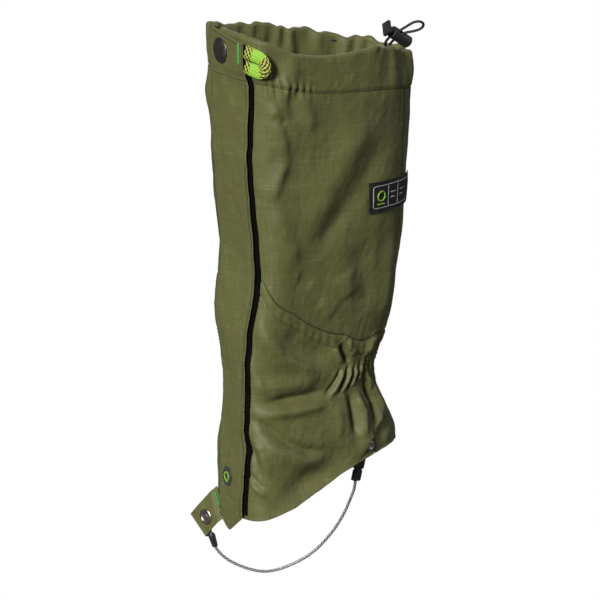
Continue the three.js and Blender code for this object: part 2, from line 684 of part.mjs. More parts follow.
function outline(points) {
  const shape = new THREE.Shape();
  shape.moveTo(points[0].x, points[0].y);
  for (const point of points.slice(1)) shape.lineTo(point.x, point.y);
  shape.closePath();
  return shape;
}

function buildCableTab() {
  const hinge = foldTop.clone().addScaledVector(up45, foldRadius);
  const edge = foldFoot.clone().addScaledVector(up45, foldRadius);
  const face = [
    hinge, edge, new THREE.Vector2(7.2, -6.8), new THREE.Vector2(0, 12), new THREE.Vector2(0, 19),
  ];
  const plate = new THREE.ExtrudeGeometry(outline(face), { depth: LEAF, bevelEnabled: false });
  plate.translate(0, 0, -LEAF);
  const bend = new THREE.Shape();
  bend.absarc(0, 0, foldRadius, Math.PI / 2, (3 * Math.PI) / 2, false);
  bend.absarc(0, 0, foldRadius - LEAF, (3 * Math.PI) / 2, Math.PI / 2, true);
  bend.closePath();
  const fold = new THREE.ExtrudeGeometry(bend, { depth: STRAP_WIDTH, bevelEnabled: false, curveSegments: 10 });
  const foldAt = new THREE.Matrix4().makeBasis(
    new THREE.Vector3(up45.x, up45.y, 0), new THREE.Vector3(0, 0, 1), new THREE.Vector3(across45.x, across45.y, 0),
  );
  foldAt.setPosition(hinge.x + 0.01 * up45.x, hinge.y + 0.01 * up45.y, -foldRadius);
  fold.applyMatrix4(foldAt);
  const foot = new THREE.BoxGeometry(3, 14, 5.2).translate(-1.5, 10.5, -2.7 - LEAF / 2);
  const hole = rod(FOOT_SNAP.shank + GAP, -2, 1, 12).translate(snapSpot.x, snapSpot.y, 0);
  const front = cut(join(plate, fold, foot), hole);
  place('tab_front_leaf', front.applyMatrix4(tabFrame), olive);

  // The rear leaf is a rounded tongue that carries the snap's stud.
  const tongue = new THREE.Shape();
  const half = 8;
  const reach = new THREE.Vector2().subVectors(snapSpot, hinge).dot(up45);
  const middle = new THREE.Vector2().subVectors(snapSpot, hinge).dot(across45);
  tongue.moveTo(GAP, middle - half);
  tongue.lineTo(reach, middle - half);
  tongue.absarc(reach, middle, half - 1, -Math.PI / 2, Math.PI / 2, false);
  tongue.lineTo(GAP, middle + half);
  tongue.closePath();
  const rear = new THREE.ExtrudeGeometry(tongue, { depth: LEAF, bevelEnabled: false, curveSegments: 8 });
  const rearAt = new THREE.Matrix4().makeBasis(
    new THREE.Vector3(up45.x, up45.y, 0), new THREE.Vector3(across45.x, across45.y, 0), new THREE.Vector3(0, 0, -1),
  );
  rearAt.setPosition(hinge.x, hinge.y, -LEAF - LEAF_SPACE);
  rear.applyMatrix4(rearAt);
  const rearHole = rod(FOOT_SNAP.shank + GAP, -9, -4, 12).translate(snapSpot.x, snapSpot.y, 0);
  place('tab_rear_leaf', cut(rear, rearHole).applyMatrix4(tabFrame), olive);

  const back = -LEAF - LEAF_SPACE;
  const snapFrame = tabFrame.clone().multiply(new THREE.Matrix4().makeTranslation(snapSpot.x, snapSpot.y, 0));
  buildSnap('tab_snap', FOOT_SNAP, snapFrame, {
    capSeat: GAP, ring: [-LEAF - GAP - 1.2, -LEAF - GAP], stud: [back + GAP, back + GAP + 0.9],
    knob: -LEAF - 0.6, post: [back - LEAF - GAP - 0.8, back - LEAF - GAP],
    shankFoot: -LEAF - 0.2, postTip: back + 0.02,
  });
  const tack = new THREE.BoxGeometry(1.7, 17, 0.7).rotateZ(radians(14)).translate(-1.2, 9.2, GAP + 0.35);
  place('tab_bartack', tack.applyMatrix4(tabFrame), neon);
}

// ---------------------------------------------------------------- instep cable
const ballSpot = onTab(new THREE.Vector2(-7.6, -17.2), -LEAF - LEAF_SPACE / 2);
const pivot = rivetPoint.clone().addScaledVector(rivetAxis, -7.4);
const cableRun = new THREE.Vector3().subVectors(pivot, ballSpot).setZ(0).normalize();
const onCable = (along, z) => ballSpot.clone().addScaledVector(cableRun, along).setZ(z);
const pivotAlong = new THREE.Vector3().subVectors(pivot, ballSpot).setZ(0).length();
const sleeveFoot = onCable(pivotAlong - 6.8, 24.4);
const sleeveAxis = new THREE.Vector3().subVectors(pivot, sleeveFoot).normalize();

// Distance along the instep from the ball, and height.
const CABLE_ROUTE = [
  [1.4, -21.6], [3.3, -26.4], [5.65, -32.3], [8.1, -38.4], [16.2, -47.2], [32.5, -54.9], [48.0, -57.6],
  [62.8, -54.5], [81.4, -45.6], [92.8, -36.8], [101.0, -27.9], [108.0, -19.0], [113.4, -10.2],
  [117.9, -1.3], [121.5, 7.5], [124.8, 16.6],
];

function buildCable() {
  const points = [onCable(0, ballSpot.z - BALL_RADIUS - GAP)];
  points[0].addScaledVector(cableRun, 0.5);
  for (const [along, z] of CABLE_ROUTE) points.push(onCable(along, z));
  points.push(sleeveFoot.clone());
  points.push(sleeveFoot.clone().addScaledVector(sleeveAxis, 9));
  const route = new THREE.CatmullRomCurve3(points, false, 'centripetal');
  place('instep_cable', tube(route, CABLE_RADIUS, 46), steel);
  const ball = new THREE.SphereGeometry(BALL_RADIUS, 14, 10);
  place('cable_ball', ball.translate(ballSpot.x, ballSpot.y, ballSpot.z), steel);

  const head = onCable(3.4, -26.6);
  const tail = onCable(8.0, -38.2);
  const length = head.distanceTo(tail);
  const bore = CABLE_RADIUS + GAP + 0.15;
  const ferrule = turned([
    [bore, 0], [2.7, 0], [3.2, 1.2], [3.2, 4], [2.5, length], [bore, length], [bore, 0],
  ], 16);
  const ferruleAxis = new THREE.Vector3().subVectors(tail, head);
  place('cable_ferrule', ferrule.applyMatrix4(frameAt(head, ferruleAxis)), black);

  // The sleeve over the cable's doubled end, with a tongue that swivels on the rivet.
  const wide = new THREE.Vector3().crossVectors(sleeveAxis, rivetAxis).normalize();
  const frame = frameAt(sleeveFoot, sleeveAxis, wide);
  const bodyLength = 21;
  const total = sleeveFoot.distanceTo(pivot);
  const half = 5.4;
  const barrel = new THREE.Shape();
  barrel.absarc(half - 2.7, 0, 2.7, -Math.PI / 2, Math.PI / 2, false);
  barrel.absarc(2.7 - half, 0, 2.7, Math.PI / 2, (3 * Math.PI) / 2, false);
  barrel.closePath();
  const body = new THREE.ExtrudeGeometry(barrel, { depth: bodyLength, bevelEnabled: false, curveSegments: 6 });
  const tongue = new THREE.Shape();
  tongue.moveTo(-4.6, bodyLength - 1);
  tongue.lineTo(4.6, bodyLength - 1);
  tongue.lineTo(4.6, total);
  tongue.absarc(0, total, 4.6, 0, Math.PI, false);
  tongue.closePath();
  const plate = new THREE.ExtrudeGeometry(tongue, { depth: 1.8, bevelEnabled: false, curveSegments: 8 });
  plate.translate(0, 0, -0.9).rotateX(Math.PI / 2);
  const sleeve = join(body, plate).applyMatrix4(frame);
  const swivel = rod(RIVET.shank + 1.1, -12, 4, 14).applyMatrix4(rivetFrame);
  const socket = rod(bore, -2, 11, 12).applyMatrix4(frameAt(sleeveFoot, sleeveAxis));
  place('cable_sleeve', cut(sleeve, swivel, socket), black);

  const shank = RIVET.shank;
  const eyelet = turned([
    [0, -RIVET.back + 0.9 + GAP], [shank, -RIVET.back + 0.9 + GAP], [shank, GAP], [RIVET.head, GAP],
    [RIVET.head, GAP + 0.5], [RIVET.head - 1, GAP + 1.1], [0, GAP + 1.1],
  ], 20);
  place('strap_rivet', eyelet.applyMatrix4(rivetFrame), gunmetal);
  place('rivet_washer', rod(RIVET.head, -RIVET.back - 0.3, -RIVET.back + 0.9, 20).applyMatrix4(rivetFrame), gunmetal);
}

buildPanels();
buildInside();
buildCasing();
buildCordLock();
buildClosure();
buildPullLoop();
buildCableTab();
buildCable();

export default gaiter;
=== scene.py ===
import math

import bmesh
import bpy
import numpy as np
from bpy.props import FloatProperty, FloatVectorProperty, PointerProperty
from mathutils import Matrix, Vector


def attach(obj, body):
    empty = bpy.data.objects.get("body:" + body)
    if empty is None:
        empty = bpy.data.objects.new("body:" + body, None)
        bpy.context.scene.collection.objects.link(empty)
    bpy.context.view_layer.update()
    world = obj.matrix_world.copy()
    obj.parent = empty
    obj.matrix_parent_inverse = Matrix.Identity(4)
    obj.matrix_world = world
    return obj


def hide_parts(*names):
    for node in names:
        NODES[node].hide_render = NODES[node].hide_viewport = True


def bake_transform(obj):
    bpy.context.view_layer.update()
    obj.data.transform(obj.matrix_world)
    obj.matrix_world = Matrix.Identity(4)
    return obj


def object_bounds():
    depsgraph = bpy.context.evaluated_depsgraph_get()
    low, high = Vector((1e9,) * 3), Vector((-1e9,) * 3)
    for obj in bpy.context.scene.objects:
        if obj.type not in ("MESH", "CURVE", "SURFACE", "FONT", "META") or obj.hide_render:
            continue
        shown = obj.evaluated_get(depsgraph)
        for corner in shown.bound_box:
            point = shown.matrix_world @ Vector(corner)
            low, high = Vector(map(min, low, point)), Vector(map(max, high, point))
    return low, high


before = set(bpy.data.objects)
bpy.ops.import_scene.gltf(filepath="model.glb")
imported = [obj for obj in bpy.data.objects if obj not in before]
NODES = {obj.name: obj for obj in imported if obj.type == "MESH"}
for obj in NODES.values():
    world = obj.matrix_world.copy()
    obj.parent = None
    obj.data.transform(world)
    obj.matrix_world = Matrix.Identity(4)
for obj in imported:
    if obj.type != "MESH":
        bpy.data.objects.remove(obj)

bl_info = {
    "name": "Hiking Gaiter",
    "version": (1, 0, 0),
    "blender": (4, 5, 0),
    "location": "View3D > Sidebar > Gaiter",
    "description": "Builds a front-opening hiking gaiter in cloth, webbing, cord, cable and metal",
    "category": "Add Mesh",
}

MM = 0.001
CAD_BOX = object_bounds()

# ------------------------------------------------------------------ settings


def colour(name, description, default):
    return FloatVectorProperty(
        name=name, description=description, subtype="COLOR", size=3, default=default, min=0, max=1)


def amount(name, description, default, low, high, unit="NONE"):
    return FloatProperty(name=name, description=description, default=default, min=low, max=high, unit=unit)


def angle(name, description, degrees):
    return FloatProperty(name=name, description=description, default=math.radians(degrees), subtype="ANGLE")


class GaiterCloth(bpy.types.PropertyGroup):
    """Sizes and colours of the body's cloth."""

    olive: colour("Olive", "Body cloth", (0.122, 0.126, 0.042))
    olive_dark: colour("Olive shade", "Darker yarns of the body cloth", (0.088, 0.090, 0.028))
    olive_pale: colour("Olive slub", "Paler yarns of the body cloth", (0.175, 0.182, 0.078))
    black: colour("Lining", "Lining cloth", (0.012, 0.012, 0.013))
    thickness: amount("Cloth", "Thickness of the body cloth, in millimetres", 0.8, 0.3, 1.0)
    yarn: amount("Yarn pitch", "Distance between yarns, in millimetres", 0.9, 0.2, 3)
    ripstop: amount("Ripstop pitch", "Distance between the heavy yarns, in millimetres", 5.2, 1, 20)
    fold_depth: amount("Fold depth", "Scales every fold and gather", 1.0, 0, 1.5)


class GaiterTrim(bpy.types.PropertyGroup):
    """Colours of the trimmings."""

    bright: colour("Bright yarn", "Pull loop", (0.30, 0.60, 0.045))
    bright_thread: colour("Bright thread", "Bar-tacks", (0.09, 0.42, 0.07))
    fleck: colour("Dark yarn", "Dark yarns of the pull loop", (0.030, 0.018, 0.010))
    metal: colour("Plating", "Antiqued plating of the snaps", (0.15, 0.128, 0.122))
    steel: colour("Steel", "Cable wires", (0.62, 0.64, 0.66))
    plastic: colour("Plastic", "Moulded fittings", (0.011, 0.011, 0.012))
    cable_turn: amount("Cable lay", "Length of one turn of the cable's strands, in millimetres", 11.0, 2, 40)
    stitch: amount("Stitch", "Length of one stitch and its gap, in millimetres", 3.2, 1, 8)


class GaiterStage(bpy.types.PropertyGroup):
    """Camera, floor and lights."""

    azimuth: angle("Azimuth", "Camera angle round the object", 60)
    elevation: angle("Elevation", "Camera angle above the horizon", 14)
    distance: amount("Distance", "Camera to object", 10.0, 0.5, 20, "LENGTH")
    across: amount("Across", "Width that the camera sees at the object", 0.516, 0.1, 5, "LENGTH")
    floor_drop: amount("Floor drop", "Floor below the object's lowest point", 0.30, 0, 2, "LENGTH")
    key: amount("Key", "Strength of the key light", 4.6, 0, 20)
    fill: amount("Fill", "Strength of the sky", 0.11, 0, 5)


SETTINGS = (GaiterCloth, GaiterTrim, GaiterStage)

# ------------------------------------------------------------------ the body's surface, in millimetres

STATIONS = np.array([
    (-20, 46, 80), (58, 47, 79), (86, 44, 70), (118, 40, 56), (146, 42, 68),
    (176, 45, 77), (215, 48, 83), (305, 51, 90), (440, 53, 96),
], dtype=float)
SHIN_DEPTH = 75.5
SHIN_LEAN = 0.0105
FRONT_POWER = 5
BACK_POWER = 2.2
RIM_LEVEL = 412
RIM_SLOPE = 0.185
CASING_HEIGHT = 37
CASING_DEPTH = 6.6
FLAP_TOP = RIM_LEVEL + 13.5
UNDERLAP = 17


def eased(x, levels, values):
    """A smooth curve through the values that never overshoots them."""
    step = np.diff(values) / np.diff(levels)
    slope = np.zeros(len(levels))
    for k in range(1, len(levels) - 1):
        if step[k - 1] * step[k] > 0:
            slope[k] = 2 * step[k - 1] * step[k] / (step[k - 1] + step[k])
    k = np.clip(np.searchsorted(levels, x, side="left") - 1, 0, len(levels) - 2)
    run = levels[k + 1] - levels[k]
    f = np.clip((x - levels[k]) / run, 0, 1)
    return ((2 * f**3 - 3 * f**2 + 1) * values[k] + (f**3 - 2 * f**2 + f) * run * slope[k]
            + (3 * f**2 - 2 * f**3) * values[k + 1] + (f**3 - f**2) * run * slope[k + 1])


def station(z, column):
    """Half width (column 1) or back depth (column 2) at each level."""
    return eased(z, STATIONS[:, 0], STATIONS[:, column])


def smooth(x, low, high):
    t = np.clip((x - low) / (high - low), 0, 1)
    return t * t * (3 - 2 * t)


def mix(a, b, t):
    return a + (b - a) * t


def bell(x, centre, width):
    return np.exp(-(((x - centre) / width) ** 2))


def shin_depth(z):
    return SHIN_DEPTH + SHIN_LEAN * np.maximum(z, 0)


def flap_half(z):
    return mix(23.6, 30.5, np.clip(np.asarray(z, float) / FLAP_TOP, 0, 1))


def section(theta, z):
    c, s = np.cos(theta), np.sin(theta)
    front = s < 0
    power = np.where(front, FRONT_POWER, BACK_POWER)
    depth = np.where(front, shin_depth(z), station(z, 2))
    total = np.abs(c / station(z, 1)) ** power + np.abs(s / depth) ** power
    radius = total ** (-1 / power)
    return radius * c, radius * s


def normal(theta, z):
    step = 0.004
    ahead, behind = section(theta + step, z), section(theta - step, z)
    x, y = ahead[1] - behind[1], behind[0] - ahead[0]
    length = np.hypot(x, y)
    return x / length, y / length


def theta_at(x, z):
    """Direction of the point of the shin at x."""
    x, z = np.broadcast_arrays(np.asarray(x, float), np.asarray(z, float))
    share = np.clip(np.abs(x / station(z, 1)), 0, 0.999)
    y = shin_depth(z) * (1 - share**FRONT_POWER) ** (1 / FRONT_POWER)
    return np.arctan2(-y, x)


def near_edge(z):
    return theta_at(-UNDERLAP, z)


def far_edge(z):
    return theta_at(-flap_half(z) - 0.6, z) + 2 * np.pi


def back_seam(z):
    return np.radians(mix(44, 66, smooth(z, 108, 182)))


def rim(theta):
    return RIM_LEVEL - RIM_SLOPE * section(theta, np.full(np.shape(theta), float(RIM_LEVEL)))[1]


def casing_height(theta):
    """The tunnel is deepest beside the flap and shallower behind it."""
    turns, extra = (-82, -55, -26, 0, 13, 40, 61, 90, 130), (2, 2, 3.6, 1.6, 0, -3.2, -5, -4, 0)
    return CASING_HEIGHT + np.interp(np.degrees(theta), turns, extra)


def casing_foot(theta):
    return rim(theta) - casing_height(theta)


def hem(theta):
    y = section(theta, np.zeros(np.shape(theta)))[1]
    rise = (y + 62) / 142
    rise = np.clip(0.5 * (rise + np.sqrt(rise**2 + 0.012)), 0, 1)
    return 55 * np.sin(rise * np.pi / 2) - 1.5


# The seam between the calf and the ankle cloth, as degrees round the leg and levels.
SEAM = np.array([
    (-82, 220), (-67, 212), (-60, 199), (-54, 190.5), (-41, 180.5), (-25, 168.6), (0, 159.5), (13, 157.5), (31, 150.5),
    (40, 149), (52, 152), (90, 152), (170, 160), (215, 182), (241, 205), (262, 214),
], dtype=float)


def panel_seam(theta):
    return eased(np.degrees(theta), SEAM[:, 0], SEAM[:, 1])


# Distance along the cloth from the outer side, for each direction round the leg.
_TURN = np.radians(np.linspace(-120, 260, 1521))
_EDGE = section(_TURN, np.full(_TURN.shape, 250.0))
_ALONG = np.concatenate([[0], np.cumsum(np.hypot(np.diff(_EDGE[0]), np.diff(_EDGE[1])))])
_ALONG -= np.interp(0, _TURN, _ALONG)


def along(theta):
    return np.interp(theta, _TURN, _ALONG)


# ------------------------------------------------------------------ folds


def lattice_noise(x, y, seed):
    """Smooth noise from -1 to 1 with one value at each whole number."""
    table = np.random.default_rng(seed).uniform(-1, 1, (128, 128))
    ix, iy = np.floor(x).astype(int), np.floor(y).astype(int)
    fx, fy = x - ix, y - iy
    fx, fy = fx * fx * fx * (fx * (6 * fx - 15) + 10), fy * fy * fy * (fy * (6 * fy - 15) + 10)
    at = lambda i, j: table[(ix + i) % 128, (iy + j) % 128]
    return mix(mix(at(0, 0), at(1, 0), fx), mix(at(0, 1), at(1, 1), fx), fy)


def pleat(total, s, z, line, width, height, sharp=1.0):
    """Adds a ridge (or a valley, with a negative height) along a line that dies out at its ends.

    line holds (degrees round the leg, level). sharp over 1 makes the side on its right steeper.
    """
    places = [(float(along(math.radians(a))), level) for a, level in line]
    reach = 3 * width
    low = np.min(places, axis=0) - reach
    high = np.max(places, axis=0) + reach
    near = (s > low[0]) & (s < high[0]) & (z > low[1]) & (z < high[1])
    if not near.any():
        return
    ps, pz = s[near], z[near]
    best = np.full(ps.shape, 1e9)
    side, run, start = np.zeros_like(ps), np.zeros_like(ps), 0.0
    for (s0, z0), (s1, z1) in zip(places, places[1:]):
        length = math.hypot(s1 - s0, z1 - z0)
        dx, dz = (s1 - s0) / length, (z1 - z0) / length
        t = np.clip((ps - s0) * dx + (pz - z0) * dz, 0, length)
        gap = np.hypot(ps - s0 - t * dx, pz - z0 - t * dz)
        closer = gap < best
        best = np.where(closer, gap, best)
        side = np.where(closer, (ps - s0) * dz - (pz - z0) * dx, side)
        run = np.where(closer, start + t, run)
        start += length
    taper = 0.15 + 0.85 * smooth(run, 0, 0.3 * start) * (1 - smooth(run, 0.7 * start, start))
    spread = np.where(side < 0, width / sharp, width)
    total[near] += height * np.exp(-((best / spread) ** 2)) * taper


# Folds as (line of (degrees, level), width, height, sharpness): the calf, the facets above the instep,
# the gathers of the elastic and the folds that fall from them.
CALF = (
    (((-56, 376), (-50, 345), (-46, 320)), 7, 3.4, 1.7), (((-46, 322), (-52, 301), (-56.5, 283)), 7, 3.2, 1.7),
    (((-56.5, 283), (-50.5, 256), (-39.5, 224)), 11, 2.4, 1.0), (((-56, 360), (-47, 351)), 5, -2.0, 1.0),
    (((-38, 335), (-40, 312), (-42, 290)), 11, -1.4, 1.0),
    (((-37, 381), (-31.5, 363), (-27.5, 340)), 6, 3.0, 1.0), (((-45, 382), (-43.5, 366), (-40.5, 350)), 5, -1.6, 1.0),
    (((33.5, 356), (0.5, 307), (-22.5, 269), (-38, 245)), 15, 4.6, 1.0),
    (((54, 338), (25, 293), (1, 264), (-26, 237)), 15, -3.1, 1.2),
    (((12, 276), (-10, 253), (-25, 238)), 8, -1.4, 1.2),
    (((24.5, 242), (31, 205), (37.5, 170)), 12, -3.4, 1.0), (((57.5, 245), (58, 199), (55.5, 160)), 9, 3.4, 1.0),
    (((-22, 193), (-1.5, 177)), 9, 1.8, 1.0), (((-41.5, 216), (-28, 207)), 6, -1.6, 1.0),
    (((5, 215), (18, 190)), 12, 2.6, 1.0),
)
FACETS = (
    (((-70, 184), (-59, 163), (-51.5, 146), (-37, 134), (-10.5, 127)), 10, 5.2, 1.9),
    (((-52, 172), (-38, 153), (-18, 143), (1, 138)), 10, -4.2, 1.0),
    (((-63, 105), (-47, 107), (-10.5, 109)), 4.2, -4.6, 1.0), (((-68, 119), (-47, 119), (-15.5, 122)), 7, 3.4, 1.0),
    (((-66, 96), (-46.5, 96), (-6, 99)), 5, 3.8, 1.0),
    (((-71, 93), (-60, 86), (-47, 70), (-32, 61), (-4, 57)), 5, -4.0, 1.3),
    (((-68, 80), (-52, 62), (-34, 51), (-4, 47)), 8, 3.4, 1.0),
    (((-72, 72), (-66, 54), (-60, 33)), 3.0, -2.4, 1.0), (((-67, 76), (-61, 58), (-55, 38)), 3.4, 2.4, 1.0),
    (((-72, 43), (-66, 38), (-60, 30)), 2.6, -1.8, 1.0), (((-70, 36), (-64, 30), (-57, 22)), 2.8, 1.6, 1.0),
    (((22, 56), (-18, 42), (-38, 31), (-50, 18)), 12, -5.0, 1.0),
    (((12, 38), (-22, 22), (-40, 12), (-54, 5)), 8, 3.4, 1.0),
    (((-72, 150), (-66, 128), (-60, 108)), 5, 2.0, 1.0),
)
GATHERS = (
    (((-11, 106), (-0.5, 115), (12, 128)), 2.3, -2.8, 1.4), (((-6, 104), (5, 114), (16.5, 128)), 2.6, 3.4, 1.0),
    (((5, 106), (14, 116), (22, 129)), 2.2, -3.4, 1.4), (((11, 106), (19.5, 116), (26, 128)), 2.3, 3.4, 1.0),
    (((17, 107), (25, 117), (30.5, 128)), 2.0, -3.8, 1.4), (((23, 109), (30, 118), (34, 128)), 2.2, 3.4, 1.0),
    (((28, 112), (34, 119), (38, 129)), 2.0, -3.4, 1.2), (((35, 113), (39, 121), (42, 129)), 2.2, 2.8, 1.0),
    (((8.5, 152), (15, 142), (22, 130)), 4.2, -7.0, 1.5), (((0.5, 149), (5.5, 140), (13, 131)), 3.6, 2.4, 1.0),
    (((16, 154), (22, 145), (29, 136)), 4.0, 2.8, 1.0),
    (((20, 108), (24, 97), (24.5, 80), (25, 64)), 4.6, -6.4, 1.0), (((31, 106), (37, 88), (32, 62)), 4.6, 3.8, 1.2),
    (((43, 116), (51, 94), (49, 76), (41, 62)), 4.8, -6.4, 1.2),
    (((47, 120), (59, 98), (62.5, 78)), 4.6, 3.6, 1.0), (((2, 100), (6, 84), (2, 66)), 5.5, 1.8, 1.0),
    (((64, 88), (56, 80), (45, 68), (34, 56), (24, 45)), 8, 3.4, 3.0), (((70, 78), (56, 68), (46, 58)), 5, -4.0, 1.0),
    (((53.5, 154), (48, 144), (43, 133)), 4.4, 3.6, 1.0), (((62, 150), (58, 138), (52, 128)), 4.0, -3.0, 1.0),
)


def waist(s, z):
    """Fine gathers that the ankle elastic pulls in round the back of the leg."""
    turn = np.interp(s, _ALONG, np.degrees(_TURN))
    round_back = smooth(turn, 34, 52) * (1 - smooth(turn, 178, 206))
    wobble = 2.5 * lattice_noise(s / 14 + 3, z / 22, 51)
    waves = np.cos((s + wobble + 0.16 * (z - 123)) * 2 * np.pi / 8.4)
    band = np.exp(-((np.abs(z - 119) / 17) ** 2.4))
    return round_back * band * (2.0 * waves + 0.7 * np.cos((s + wobble) * 2 * np.pi / 4.9 + 1))


# How far the rim stands above (or sags below) its plain line, by degrees round the leg.
RIM_SAG = np.array([
    (-80, 0), (-58, 0), (-52, -2), (-45, -5.5), (-38, -7.8), (-22, -7.5), (0, -4.6), (13, -2), (25, 1.2), (38, 4.6),
    (52, 4.2), (62, 3), (76, 0), (130, 0), (165, 2.5), (205, 2.5), (235, 0), (262, 0),
], dtype=float)


def rim_gathers(s, z, level):
    """Gathers that the drawcord pulls in. They are slack near the flap and deepest behind."""
    turn = np.interp(s, _ALONG, np.degrees(_TURN))
    slack = smooth(turn, 30, 76)
    wobble = 9 * lattice_noise(s / 34 + 9, z / 60, 52)
    waves = 1.1 * np.cos((s + wobble) * 2 * np.pi / 29) + 0.55 * np.cos((s - 0.8 * wobble) * 2 * np.pi / 15 + 2)
    return slack * waves * (1 - smooth(level, 6, 52))


def fold_height(theta, z):
    """How far the cloth stands out from its smooth shape, in millimetres."""
    s, z = np.broadcast_arrays(along(theta), z)
    turn = np.degrees(theta)
    total = np.zeros(s.shape)
    for fold in CALF + FACETS + GATHERS:
        pleat(total, s, z, *fold)
    total += waist(s, z)
    top = rim(theta) - z
    total += 1.7 * rim_gathers(s, z, top)
    # The side turned away: the same kinds of fold, laid by noise.
    far = smooth(turn, 62, 84) * (1 - smooth(turn, 212, 238))
    total += far * 2.6 * lattice_noise(s / 46 + 0.02 * z, z / 70, 31) * (1 - 0.6 * smooth(top, 40, 0))
    total += far * 1.1 * lattice_noise(s / 17 + 0.03 * z, z / 34, 32)
    # The bulge of the far panel beside the flap's top, and the hollow that it leaves lower down.
    total += 6.5 * bell(turn, 231, 15) * bell(z, 366, 24)
    total += -5.0 * bell(turn, 66, 17) * smooth(z, 368, 400)
    # Casing: slack behind the pull loop, a pinch where the cord comes out, and puckers along its seam.
    total += -4.2 * bell(turn, -51.5, 5.5) * bell(z, 404, 15) + 2.4 * bell(turn, -42.5, 4.5) * bell(z, 405, 20)
    total += -1.6 * bell(turn, 40.5, 2.6) * bell(z, 401, 3.2)
    near_loop = smooth(turn, -62, -58) * (1 - smooth(turn, -34, -24))
    pucker = np.cos(s * 2 * np.pi / 7.2 + 1.2 * lattice_noise(s / 9, z / 9, 53))
    total += 1.3 * near_loop * bell(top, CASING_HEIGHT, 8) * pucker
    total += 2.0 * bell(turn, -47, 3.2) * bell(z, 380, 13) - 1.8 * bell(turn, -54, 3.0) * bell(z, 380, 14)
    # Small creases all over.
    total += 0.42 * lattice_noise(s / 10 + z / 31, z / 17 - s / 40, 41)
    total += 0.20 * lattice_noise(s / 4.3 - z / 15, z / 6.5, 42)
    return bpy.context.scene.gaiter_cloth.fold_depth * total


def groove(distance, width=1.1, depth=0.55):
    """The line that a row of stitches draws in the cloth."""
    return -depth * np.exp(-((distance / width) ** 2))


# How far the flap's left and right edges stand aside from a straight line, by level.
# The cloth beside the flap goes with them.
SWAY_LEVELS = (0, 19, 45, 62, 80, 105, 125, 145, 165, 183, 200, 218, 236, 254, 275, 295, 320, 345, 368, 384, 396, 404)
SWAY_LEFT = (0, 0, 0, 1, 3, 5, 5, 2, -1, -1, 1, 3, 5, 3, 1, 0, -1, 0, -1, 0, 0, 0)
SWAY_RIGHT = (-2, -2, 0, 1, -1, -1, -1, 0, 2, 5, 8, 9, 8.5, 7, 5, 3, 2, 3, 4, 4, 0, -1)


def sway(theta, z):
    turn = np.degrees(theta)
    turn = np.where(turn < -110, turn + 360, turn)
    right = np.interp(z, SWAY_LEVELS, SWAY_RIGHT)
    left = np.interp(z, SWAY_LEVELS, SWAY_LEFT)
    # -61 degrees is the flap's free edge; the far edge is 249 degrees, or -111.
    wrapped = np.where(turn > 180, turn - 360, turn)
    across = smooth(wrapped, -111, -68)
    front = mix(left, right, across)
    fade_right = 1 - smooth(wrapped, -62, -34)
    fade_left = smooth(turn, 196, 236)
    amount = np.where(turn > 180, left * fade_left, np.where(wrapped > -68, right * fade_right, front))
    return 0.5 * amount, 0.866 * amount


def cloth_base(theta, z):
    """The folded cloth's surface, to be built out from: points, outward directions and levels."""
    theta, z = np.broadcast_arrays(theta, z)
    x, y = section(theta, z)
    nx, ny = normal(theta, z)
    out = fold_height(theta, z)
    sx, sy = sway(theta, z)
    return x + nx * out + sx, y + ny * out + sy, z, nx, ny


def raised(base, offset, up=0.0):
    """Points on a base, in metres: offset is outward."""
    x, y, z, nx, ny = base
    return np.stack(np.broadcast_arrays(x + nx * offset, y + ny * offset, z + up), -1) * MM


def cloth_point(theta, z, offset):
    """Points of the folded cloth, in metres."""
    return raised(cloth_base(theta, z), offset)


# ------------------------------------------------------------------ mesh tools


def new_object(name, mesh):
    made = bpy.data.objects.new(name, mesh)
    bpy.context.scene.collection.objects.link(made)
    return made


def mesh_object(name, points, faces, uv=None, weld=False):
    """A mesh from points in metres and faces; uv is a pair for each point."""
    mesh = bpy.data.meshes.new(name)
    mesh.from_pydata(np.asarray(points, float).tolist(), [], [list(map(int, f)) for f in faces])
    if uv is not None:
        layer = mesh.uv_layers.new(name="cloth")
        corner = np.empty(len(mesh.loops), dtype=np.int32)
        mesh.loops.foreach_get("vertex_index", corner)
        layer.data.foreach_set("uv", np.asarray(uv, np.float32)[corner].ravel())
    work = bmesh.new()
    work.from_mesh(mesh)
    if weld:
        bmesh.ops.remove_doubles(work, verts=work.verts, dist=2e-6)
    bmesh.ops.recalc_face_normals(work, faces=work.faces)
    work.to_mesh(mesh)
    work.free()
    mesh.validate()
    mesh.polygons.foreach_set("use_smooth", [True] * len(mesh.polygons))
    return new_object(name, mesh)


def join_shapes(shapes):
    """One list of points and faces from several."""
    points, faces, uv, base = [], [], [], 0
    for shape in shapes:
        points.append(np.asarray(shape[0], float))
        faces += [[i + base for i in f] for f in shape[1]]
        uv.append(np.asarray(shape[2], float) if len(shape) > 2 else np.zeros((len(shape[0]), 2)))
        base += len(shape[0])
    return np.concatenate(points), faces, np.concatenate(uv)


def in_metres(shape):
    """The points, in metres, and the faces of a shape in millimetres."""
    return np.array(shape[0]) * MM, shape[1]


def edge_steps(count):
    """Columns of a sheet as (share of the width, millimetres in from the near edge, roundness)."""
    fine = [(d, math.sqrt(max(0, 1 - (1 - min(d / 0.5, 1)) ** 2))) for d in (0, 0.12, 0.3, 0.55, 0.9)]
    first = [(0.0, d, roundness) for d, roundness in fine]
    last = [(1.0, -d, roundness) for d, roundness in reversed(fine)]
    inner = [(k / count, 0.0, 1.0) for k in range(1, count)]
    return np.array(first + inner + last)


